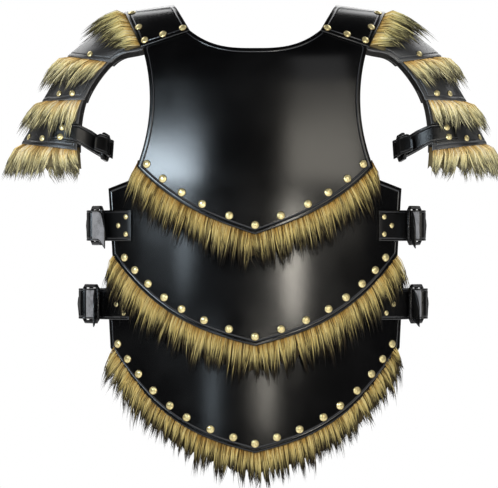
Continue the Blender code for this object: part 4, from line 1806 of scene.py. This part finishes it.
@dataclass
class Closure:
    """Two straps and a buckle that close a gap between a front and a back piece.

    The prefixes name the front strap, the buckle, the back strap and the rivets.
    A lap tells where a strap lies on its plate, from shares along and across.
    """

    palette: Palette
    ending: str
    prefixes: tuple[str, ...]
    front_lap: Lap
    back_lap: Lap
    # how stiffly the free straps leave their plates, and how far they drop
    handles: tuple[float, float]
    sag: float
    # where along the free straps the buckle starts
    frame_start: float
    strap_width: float
    # how far the doubled-back end hangs, and turns away in radians
    droop: float
    lean: float = 0.0
    # share by which the free straps bulge less at their edges
    cup: float = 0.0
    sizes: StrapSizes = StrapSizes()
    rivet_scale: float = 0.66
    # shares along and across of a lap's rivets
    rivet_pattern: Pairs = ((0.20, 0.78), (0.20, 0.22), (0.52, 0.50))

    def __post_init__(self) -> None:
        """Find which way is out of the loop, and where the buckle lies."""
        self.outward = 1
        near = self.curve(self.frame_start, 0.5)
        if self.normal(self.frame_start).dot(near - self.inside()) < 0:
            self.outward = -1
        self.near = near + self.normal(self.frame_start) * self.sizes.turn
        further = self.frame_start + self.sizes.aim_step
        aim = self.curve(further, 0.5) + self.normal(further) * self.sizes.turn
        self.way = (aim - self.near).normalized()
        self.width = (self.curve(0, 1) - self.curve(0, 0)).normalized()
        self.out = self.way.cross(self.width).normalized() * self.outward

    def inside(self) -> Vector:
        """Point well inside the loop that the straps close."""
        return (self.front_lap(0, 0.5) + self.back_lap(0, 0.5)) / 2

    def curve(self, share: float, across: float) -> Vector:
        """Point of the free straps.

        Args:
            share: Place from the front edge to the back edge.
            across: Share across them.

        Returns:
            The point.
        """
        front, back = self.front_lap(1, across), self.back_lap(1, across)
        bulge = 1 - self.cup * (2 * across - 1) ** 2
        leave = (front - self.front_lap(0.9, across)).normalized() * (self.handles[0] * bulge)
        arrive = (back - self.back_lap(0.9, across)).normalized() * (self.handles[1] * bulge)
        drop = Vector((0, 0, -self.sag))
        return bezier((front, front + leave + drop, back + arrive + drop, back), share)

    def normal(self, share: float) -> Vector:
        """Which way is out of the loop.

        Args:
            share: Place along the free straps.

        Returns:
            The direction there.
        """
        step = 0.02
        ahead = self.curve(share + step, 0.5) - self.curve(share - step, 0.5)
        across = self.curve(share, 1) - self.curve(share, 0)
        return ahead.cross(across).normalized() * self.outward

    def bar(self, number: int) -> Vector:
        """Middle of one of the frame's three bars, near to far."""
        return self.near + self.way * (self.sizes.spacing * number)

    def to_edge(self, across: float, scale: float = 1.0) -> Vector:
        """From the middle of the strap to a share across it."""
        return self.width * ((across - 0.5) * self.strap_width * scale)

    def turn_round(self, centre: Vector, way: Vector, across: float) -> list[Vector]:
        """Half a turn round a bar, from inside it to outside it.

        Args:
            centre: Middle of the bar.
            way: Which way the turn bulges.
            across: Share across the strap.

        Returns:
            Points along the turn.
        """
        angles = np.linspace(0, math.pi, self.sizes.turn_steps + 1)
        start = centre + self.to_edge(across)
        return [start + (way * math.sin(angle) - self.out * math.cos(angle)) * self.sizes.turn
                for angle in angles]

    def front_edge(self, across: float) -> list[Vector]:
        """Line along the front strap.

        Args:
            across: Share across it.

        Returns:
            Points from the lap, through the buckle, to the doubled-back end.
        """
        turn, edge = self.out * self.sizes.turn, self.to_edge(across)
        start = self.near - turn + edge
        points = [self.front_lap(step / 10, across) for step in range(11)]
        points += [self.curve(self.frame_start * 0.5, across), start,
                   lerp(start, self.bar(1) - turn + edge, 0.5)]
        return points + self.turn_round(self.bar(1), self.way, across) + self.free_end(across)

    def free_end(self, across: float) -> list[Vector]:
        """Line along the doubled-back end, which leans away and hangs a little.

        Args:
            across: Share across the strap.

        Returns:
            Points from over the near bar to the tip.
        """
        sizes = self.sizes
        home = (self.curve(0, 0.5) - self.curve(self.frame_start, 0.5)).normalized()
        rise = self.width.cross(home).normalized() * self.outward
        back = self.near.copy()
        points = []
        for step in range(sizes.end_steps + 1):
            share = step / sizes.end_steps
            up = lerp(self.out, rise, min(2 * share, 1)).normalized()
            turned = self.lean * min(3 * share, 1)
            lift = up * math.cos(turned) - home * math.sin(turned)
            rounding = max(share - sizes.tip_start, 0) / (1 - sizes.tip_start)
            tip = 1 - sizes.tip_cuts[int(across > 0.5)] * rounding ** 2
            points.append(back + lift * (sizes.turn * sizes.stand_off)
                          + self.to_edge(across, tip)
                          - self.width * (self.droop * share * share))
            ahead = home * math.cos(turned) + up * math.sin(turned)
            back = back + ahead * ((sizes.turn_back - sizes.spacing) / sizes.end_steps)
        return points

    def back_edge(self, across: float) -> list[Vector]:
        """Line along the back strap.

        Args:
            across: Share across it.

        Returns:
            Points from the lap to the fold round the far bar.
        """
        fold, far, edge = self.way * self.sizes.fold, self.bar(2), self.to_edge(across)
        turn = self.out * self.sizes.turn
        end = self.frame_start + self.sizes.back_step
        points = [self.back_lap(step / 10, across) for step in range(11)]
        points += [self.curve(lerp(1.0, end, step * 0.75 / 7), across) for step in range(1, 8)]
        rounded = 1 - 4 * self.cup * (2 * across - 1) ** 2
        beyond = far + fold * (0.5 * max(rounded, 0.3)) + edge
        return [*points, beyond - turn, *self.turn_round(far, -self.way, across),
                far + fold * 0.25 + turn * 0.97 + edge, beyond + turn * 0.9]

    def strap(self, name: str, line: Callable[[float], list[Vector]], grain: Material,
              flesh: Material) -> None:
        """Make one strap, rounded at its edges and creased along them.

        Args:
            name: Name of the piece and node.
            line: Gives the points along the strap at a share across it.
            grain: Finish of the side that lies outside on the plate.
            flesh: Finish of the other side.
        """
        rim = self.sizes.rim
        insets = np.array(self.sizes.rim_lines) / self.strap_width
        middle = np.linspace(insets[-1], 1 - insets[-1], 5)[1:-1]
        shares = np.concatenate((insets, middle, 1 - insets[::-1]))
        lines = [line(float(share)) for share in shares]
        columns = len(lines[0]) - 1
        edge = np.minimum(shares, 1 - shares) * self.strap_width
        height = rim.height(edge)
        grid = DoubleGrid(columns, len(shares) - 1)
        for vert in grid.bm.verts:
            row, column = grid.place(vert)
            ahead = lines[row][min(column + 1, columns)] - lines[row][max(column - 1, 0)]
            across = lines[-1][column] - lines[0][column]
            way = ahead.cross(across).normalized() * self.outward
            thin = self.sizes.end_thickness if column in (0, columns) else 1.0
            lift = LAYERS.strap / 2 * thin + float(height[row])
            vert.co = lines[row][column] + way * (-lift if vert in grid.under else lift)
            vert[grid.mark] = rim.mark(edge[row])
        for face in grid.bm.faces:
            inner = all(vert in grid.under and vert[grid.mark] > 0.4 for vert in face.verts)
            face.material_index = int(inner)
        face_outwards(grid.bm)
        register(seal(name + DRESSED, grid.bm, (grain, flesh), 70.0), Slot.STRAP, name)

    def frame(self, name: str, metal: Material) -> None:
        """Make the buckle: a frame of three square bars, with a roller.

        Args:
            name: Name of the piece and node.
            metal: Finish of the frame.
        """
        sizes = self.sizes
        bar, reach = sizes.bar / 2, sizes.spacing
        stops = [middle + way * bar for middle in (0.0, reach, 2 * reach) for way in (-1, 1)]
        half = self.strap_width / 2 + sizes.bar + sizes.bar_gap * 2
        lines = [-half, -half + sizes.bar, half - sizes.bar, half]
        bm = bmesh.new()
        bmesh.ops.create_grid(bm, x_segments=5, y_segments=3, size=0.5)
        places = {vert: (round((vert.co.x + 0.5) * 5), round((vert.co.y + 0.5) * 3))
                  for vert in bm.verts}
        windows = [face for face in bm.faces if {places[vert] for vert in face.verts} in (
            {(1, 1), (1, 2), (2, 1), (2, 2)}, {(3, 1), (3, 2), (4, 1), (4, 2)})]
        bmesh.ops.delete(bm, geom=windows, context="FACES")
        cut = sizes.bar * sizes.corner_cut
        for vert, (column, row) in places.items():
            along, across = stops[column], lines[row]
            if column in (0, 5) and row in (0, 3):
                along += cut * (1 if column == 0 else -1)
                across *= 1 - cut / half
            vert.co = self.near + self.way * along + self.width * across - self.out * bar
        made = bmesh.ops.extrude_face_region(bm, geom=bm.faces[:])
        raised = [item for item in made["geom"] if isinstance(item, bmesh.types.BMVert)]
        bmesh.ops.translate(bm, verts=raised, vec=self.out * sizes.bar)
        bmesh.ops.recalc_face_normals(bm, faces=bm.faces)
        sharp = [line for line in bm.edges if line.calc_face_angle(0) > 0.8]
        bmesh.ops.bevel(bm, geom=sharp, offset=sizes.bar * sizes.bar_rounding,
                        offset_type="OFFSET", affect="EDGES", segments=3, profile=0.5,
                        material=-1, clamp_overlap=True)
        self.roller(bm)
        register(seal(name + DRESSED, bm, (metal,), 40.0), Slot.BUCKLE, name)

    def roller(self, bm: BMesh) -> None:
        """Add a roller round the near bar.

        Args:
            bm: The frame's mesh.
        """
        matrix = Matrix((self.out.cross(self.width), self.out, self.width)).transposed().to_4x4()
        matrix.translation = self.near
        radius = self.sizes.bar * self.sizes.roller_radius
        depth = self.strap_width * self.sizes.roller_length
        made = bmesh.ops.create_cone(bm, cap_ends=True, segments=20, radius1=radius,
                                     radius2=radius, depth=depth, matrix=matrix)
        rims = {line for vert in made["verts"] for line in vert.link_edges
                if line.calc_face_angle(0) > 1.2}
        bmesh.ops.bevel(bm, geom=list(rims), offset=0.0006, offset_type="OFFSET",
                        affect="EDGES", segments=2, profile=0.5, material=-1)

    def flesh(self) -> Material:
        """Finish of the front strap's inner side, which shows where it is doubled back."""
        return self.palette.suede

    def build(self) -> None:
        """Make both straps, the buckle and the rivets."""
        palette = self.palette
        front, buckle, back, rivets = (prefix + self.ending for prefix in self.prefixes)
        self.strap(front, self.front_edge, palette.strap, self.flesh())
        self.strap(back, self.back_edge, palette.strap, palette.strap)
        self.frame(buckle, palette.black_metal)
        RivetSet(rivets, self.rivet_seats(), self.rivet_scale).build(palette)

    def rivet_seats(self) -> list[Skin]:
        """Seats of the rivets on both laps.

        Returns:
            Points on the straps and their normals.
        """
        seats = []
        for lap in (self.front_lap, self.back_lap):
            for along, across in self.rivet_pattern:
                point = lap(along, across)
                ahead = lap(min(along + 0.05, 1), across) - lap(along - 0.05, across)
                up = lap(along, 0.9) - lap(along, 0.1)
                normal = ahead.cross(up).normalized()
                if normal.dot(point - self.inside()) < 0:
                    normal.negate()
                seats.append((point + normal * (LAYERS.strap / 2), normal))
        return seats


@dataclass
class ArmClosure(Closure):
    """The closure of one arm, on its lowest lame."""

    rivet_scale: float = 0.80
    rivet_pattern: Pairs = ((0.34, 0.76), (0.34, 0.22))

    def flesh(self) -> Material:
        """Finish of the front strap's inner side, which is dyed like the outer one."""
        return self.palette.strap


@dataclass(frozen=True)
class Fastenings:
    """Every closure of the jacket."""

    torso: TorsoForm
    cut: BodyCut
    sleeves: dict[Side, SleeveForm]
    palette: Palette
    side_names: tuple[str, ...] = ("side_strap", "side_buckle", "back_strap", "strap_rivets")
    side_width: float = 0.043
    side_droop: float = 0.014
    side_cup: float = 0.30
    arm_names: tuple[str, ...] = ("arm_strap", "arm_buckle", "arm_back_strap",
                                  "arm_strap_rivets")
    arm_width: float = 0.026
    arm_droop: float = 0.003
    arm_sag: float = 0.022
    # where the arm straps lie along the sleeve, and between which shares round it
    arm_level: float = 2.66
    arm_lap: tuple[float, float] = (0.68, 0.995)
    # side, level, layer, height, slack, lean of the doubled-back end
    side_rows: tuple[tuple[Side, str, int, float, float, float], ...] = (
        (Side.LEFT, "upper", 1, -0.309, 0.050, 0.25),
        (Side.RIGHT, "upper", 1, -0.309, 0.066, 1.10),
        (Side.LEFT, "lower", 2, -0.419, 0.096, 0.85),
        (Side.RIGHT, "lower", 2, -0.419, 0.066, 1.35),
    )
    arm_rows: tuple[tuple[Side, float], ...] = ((Side.LEFT, 0.054), (Side.RIGHT, 0.060))

    def side_closure(self, side: Side, level: str, layer: int, height: float,
                     slack: float, lean: float) -> Closure:
        """Closure at one side of the body.

        Args:
            side: Side of the jacket.
            level: Upper or lower.
            layer: How many plates lie over the one that carries it.
            height: Height of its middle.
            slack: How far the straps stand off the side.
            lean: How far the doubled-back end turns away, in radians.

        Returns:
            The closure.
        """
        lift = LAYERS.gap + LAYERS.strap / 2 - layer * LAYERS.pitch
        half = self.cut.belly_half_width if layer == 1 else self.cut.hip_half_width

        def lap(face: Face, share: float, across: float) -> Vector:
            """Point of the strap on a lame, from shares along and across."""
            z = height + (across - 0.5) * self.side_width
            x = half - StrapSizes.lap * 0.76 * (1 - share)
            return self.torso.skin(side.sign * x, z, lift, face)[0]

        return Closure(self.palette, "_" + level + "_" + side.value, self.side_names,
                       partial(lap, Face.FRONT), partial(lap, Face.BACK),
                       (slack, slack * 0.35), 0.0, 0.04, self.side_width, self.side_droop,
                       lean, self.side_cup)

    def arm_closure(self, side: Side, slack: float) -> Closure:
        """Closure round one arm.

        Args:
            side: Side of the jacket.
            slack: How far the straps stand off the arm.

        Returns:
            The closure.
        """
        sleeve = self.sleeves[side]
        pace = sleeve.pace(2.2, 3, -1)
        lift = LAYERS.gap + LAYERS.strap / 2

        def lap(way: int, share: float, across: float) -> Vector:
            """Point of the strap on the lame, from shares along and across."""
            along = self.arm_level - (across - 0.5) * self.arm_width / pace
            around = way * lerp(*self.arm_lap, share)
            return sleeve.skin(along, around, lift - sleeve.inset(3, along), side)[0]

        return ArmClosure(self.palette, "_" + side.value, self.arm_names, partial(lap, -1),
                          partial(lap, 1), (slack, slack * 0.8), self.arm_sag, 0.26,
                          self.arm_width, self.arm_droop)

    def build(self) -> None:
        """Make every closure and its rivets."""
        closures = [self.side_closure(*row) for row in self.side_rows]
        for closure in closures + [self.arm_closure(*row) for row in self.arm_rows]:
            closure.build()


class Use(Enum):
    """What a light is there for."""

    SHINE = "shine"
    FILL = "fill"


@dataclass(frozen=True)
class SoftLight:
    """An upright area light on a circle round the jacket, and facing its axis.

    Azimuth 0 is towards the camera and grows to the right, in degrees. A light
    for shine shows in glossy leather, and one for fill lights fur and cloth.
    """

    name: str
    azimuth: float
    height: float
    wide: float
    high: float
    radiance: float
    colour: Colour = PLAIN
    distance: float = 1.2
    aim: float | None = None
    use: Use = Use.SHINE

    def build(self) -> None:
        """Place the light."""
        data = bpy.data.lights.new(self.name, "AREA")
        data.shape = "RECTANGLE"
        data.size = 2 * self.distance * math.tan(math.radians(self.wide / 2))
        data.size_y = self.high
        data.energy = self.radiance * math.pi * data.size * data.size_y
        data.color = self.colour
        lamp = put_in_scene(self.name, data)
        lamp.visible_camera = False
        lamp.visible_glossy = self.use is Use.SHINE
        lamp.visible_diffuse = self.use is Use.FILL
        across = math.radians(self.azimuth)
        away = Vector((math.sin(across), -math.cos(across), 0)) * self.distance
        lamp.location = away + Vector((0, 0, self.height))
        target = self.height if self.aim is None else self.aim
        towards = lamp.location - Vector((0, 0, target))
        lamp.rotation_euler = towards.to_track_quat("Z", "Y").to_euler()


@dataclass(frozen=True)
class Studio:
    """Camera, light and floor."""

    view_width: float = 0.698
    centre: tuple[float, float] = (-0.0084, -0.3348)
    distance: float = 5.5
    focus_depth: float = 0.06
    floor_height: float = -1.40
    floor_radius: float = 8.0
    room: float = 0.012
    ambient: float = 0.45
    sensor: float = 36.0
    floor_tone: float = 0.86
    floor_glow: float = 0.35
    lights: tuple[SoftLight, ...] = (
        SoftLight("left_window", -40, -0.138, 26, 0.11, 18.2, COOL, 0.8),
        SoftLight("left_inner_window", -24, -0.138, 7, 0.11, 11.0, COOL, 0.8),
        SoftLight("left_upper_window", -38, -0.07, 32, 0.03, 8.0, COOL, 0.8),
        SoftLight("left_low_window", -28, -0.29, 7, 0.11, 3.8, COOL, 0.7),
        SoftLight("left_hip_window", -15.6, -0.50, 3, 0.13, 4.2, COOL, 0.7),
        SoftLight("right_window", 29.5, -0.035, 39, 0.27, 3.3, WARM),
        SoftLight("right_low_window", 13.5, -0.335, 7, 0.11, 17.5, WARM, 0.7),
        SoftLight("right_hip_window", 3.3, -0.50, 4, 0.10, 9.0, WARM, 0.7),
        SoftLight("high_panel", 29, 0.45, 30, 0.60, 0.5),
        SoftLight("backdrop", 180, 0.75, 60, 0.60, 2.4, PLAIN, 2.0),
        SoftLight("left_upper_backdrop", -130, 1.35, 70, 0.9, 3.1, PLAIN, 1.6, -0.1),
        SoftLight("right_upper_backdrop", 130, 1.35, 70, 0.9, 3.0, PLAIN, 1.6, -0.1),
        SoftLight("left_side_panel", -118, -0.2, 26, 0.80, 0.6),
        SoftLight("right_side_panel", 118, -0.2, 26, 0.80, 0.6),
        SoftLight("fur_key", -25, 1.6, 40, 1.2, 9.0, PLAIN, 3.0, -0.3, Use.FILL),
        SoftLight("fur_fill", 35, 0.4, 40, 1.2, 3.0, PLAIN, 3.0, -0.3, Use.FILL),
        SoftLight("back_key", 170, 1.4, 40, 1.2, 7.0, PLAIN, 3.0, -0.3, Use.FILL),
    )

    def camera(self) -> None:
        """Long lens at the photograph's angle, level with the jacket's middle."""
        data = bpy.data.cameras.new("camera")
        data.sensor_width = self.sensor
        data.lens = self.sensor * (self.distance - self.focus_depth) / self.view_width
        data.clip_end = 100.0
        made = put_in_scene("camera", data)
        made.location = (self.centre[0], -self.distance, self.centre[1])
        made.rotation_euler = (math.pi / 2, 0, 0)
        bpy.context.scene.camera = made

    def floor(self) -> None:
        """Plain pale floor, at the height where a wearer would stand."""
        bm = bmesh.new()
        bmesh.ops.create_circle(bm, cap_ends=True, segments=96, radius=self.floor_radius)
        bmesh.ops.translate(bm, verts=bm.verts, vec=(0, 0, self.floor_height))
        surface = bpy.data.materials.new("pale_floor")
        surface.use_nodes = True
        tree, tone = surface.node_tree, self.floor_tone
        ShaderBoard(tree).feed(tree.nodes["Principled BSDF"], {
            "Base Color": (tone, tone, tone, 1), "Roughness": 0.9,
            "Emission Color": (1, 1, 1, 1), "Emission Strength": self.floor_glow})
        mesh = to_mesh("studio_floor", bm)
        mesh.materials.append(surface)
        made = put_in_scene("studio_floor", mesh)

    def world(self) -> None:
        """White to the camera, and a dim grey room to everything else."""
        made = bpy.data.worlds.new("studio")
        made.use_nodes = True
        board = ShaderBoard(made.node_tree)
        path = board.add("ShaderNodeLightPath").outputs
        strength = board.times(path["Is Camera Ray"], 1.0 - self.room)
        diffuse = board.times(path["Is Diffuse Ray"], self.ambient)
        strength = board.plus(board.plus(strength, diffuse), self.room)
        board.feed(made.node_tree.nodes["Background"],
                   {"Color": (1, 1, 1, 1), "Strength": strength})
        bpy.context.scene.world = made

    def build(self) -> None:
        """Set the stage."""
        self.camera()
        self.floor()
        self.world()
        for light in self.lights:
            light.build()
        bpy.context.scene.view_settings.view_transform = "Standard"
        bpy.context.scene.view_settings.look = "None"


def main() -> None:
    """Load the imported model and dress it."""
    logging.basicConfig(level=logging.INFO, format="%(message)s")
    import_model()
    Studio().build()
    palette = Palette()
    torso, cut = TorsoForm(), BodyCut()
    sleeves = {Side.LEFT: SleeveForm(torso, 0.171), Side.RIGHT: SleeveForm(torso, 0.169)}
    for face in Face:
        TorsoArmour(torso, cut, face, palette).build()
    for side in Side:
        ArmArmour(sleeves[side], side, palette).build()
    Fastenings(torso, cut, sleeves, palette).build()


if __name__ == "__main__":
    main()
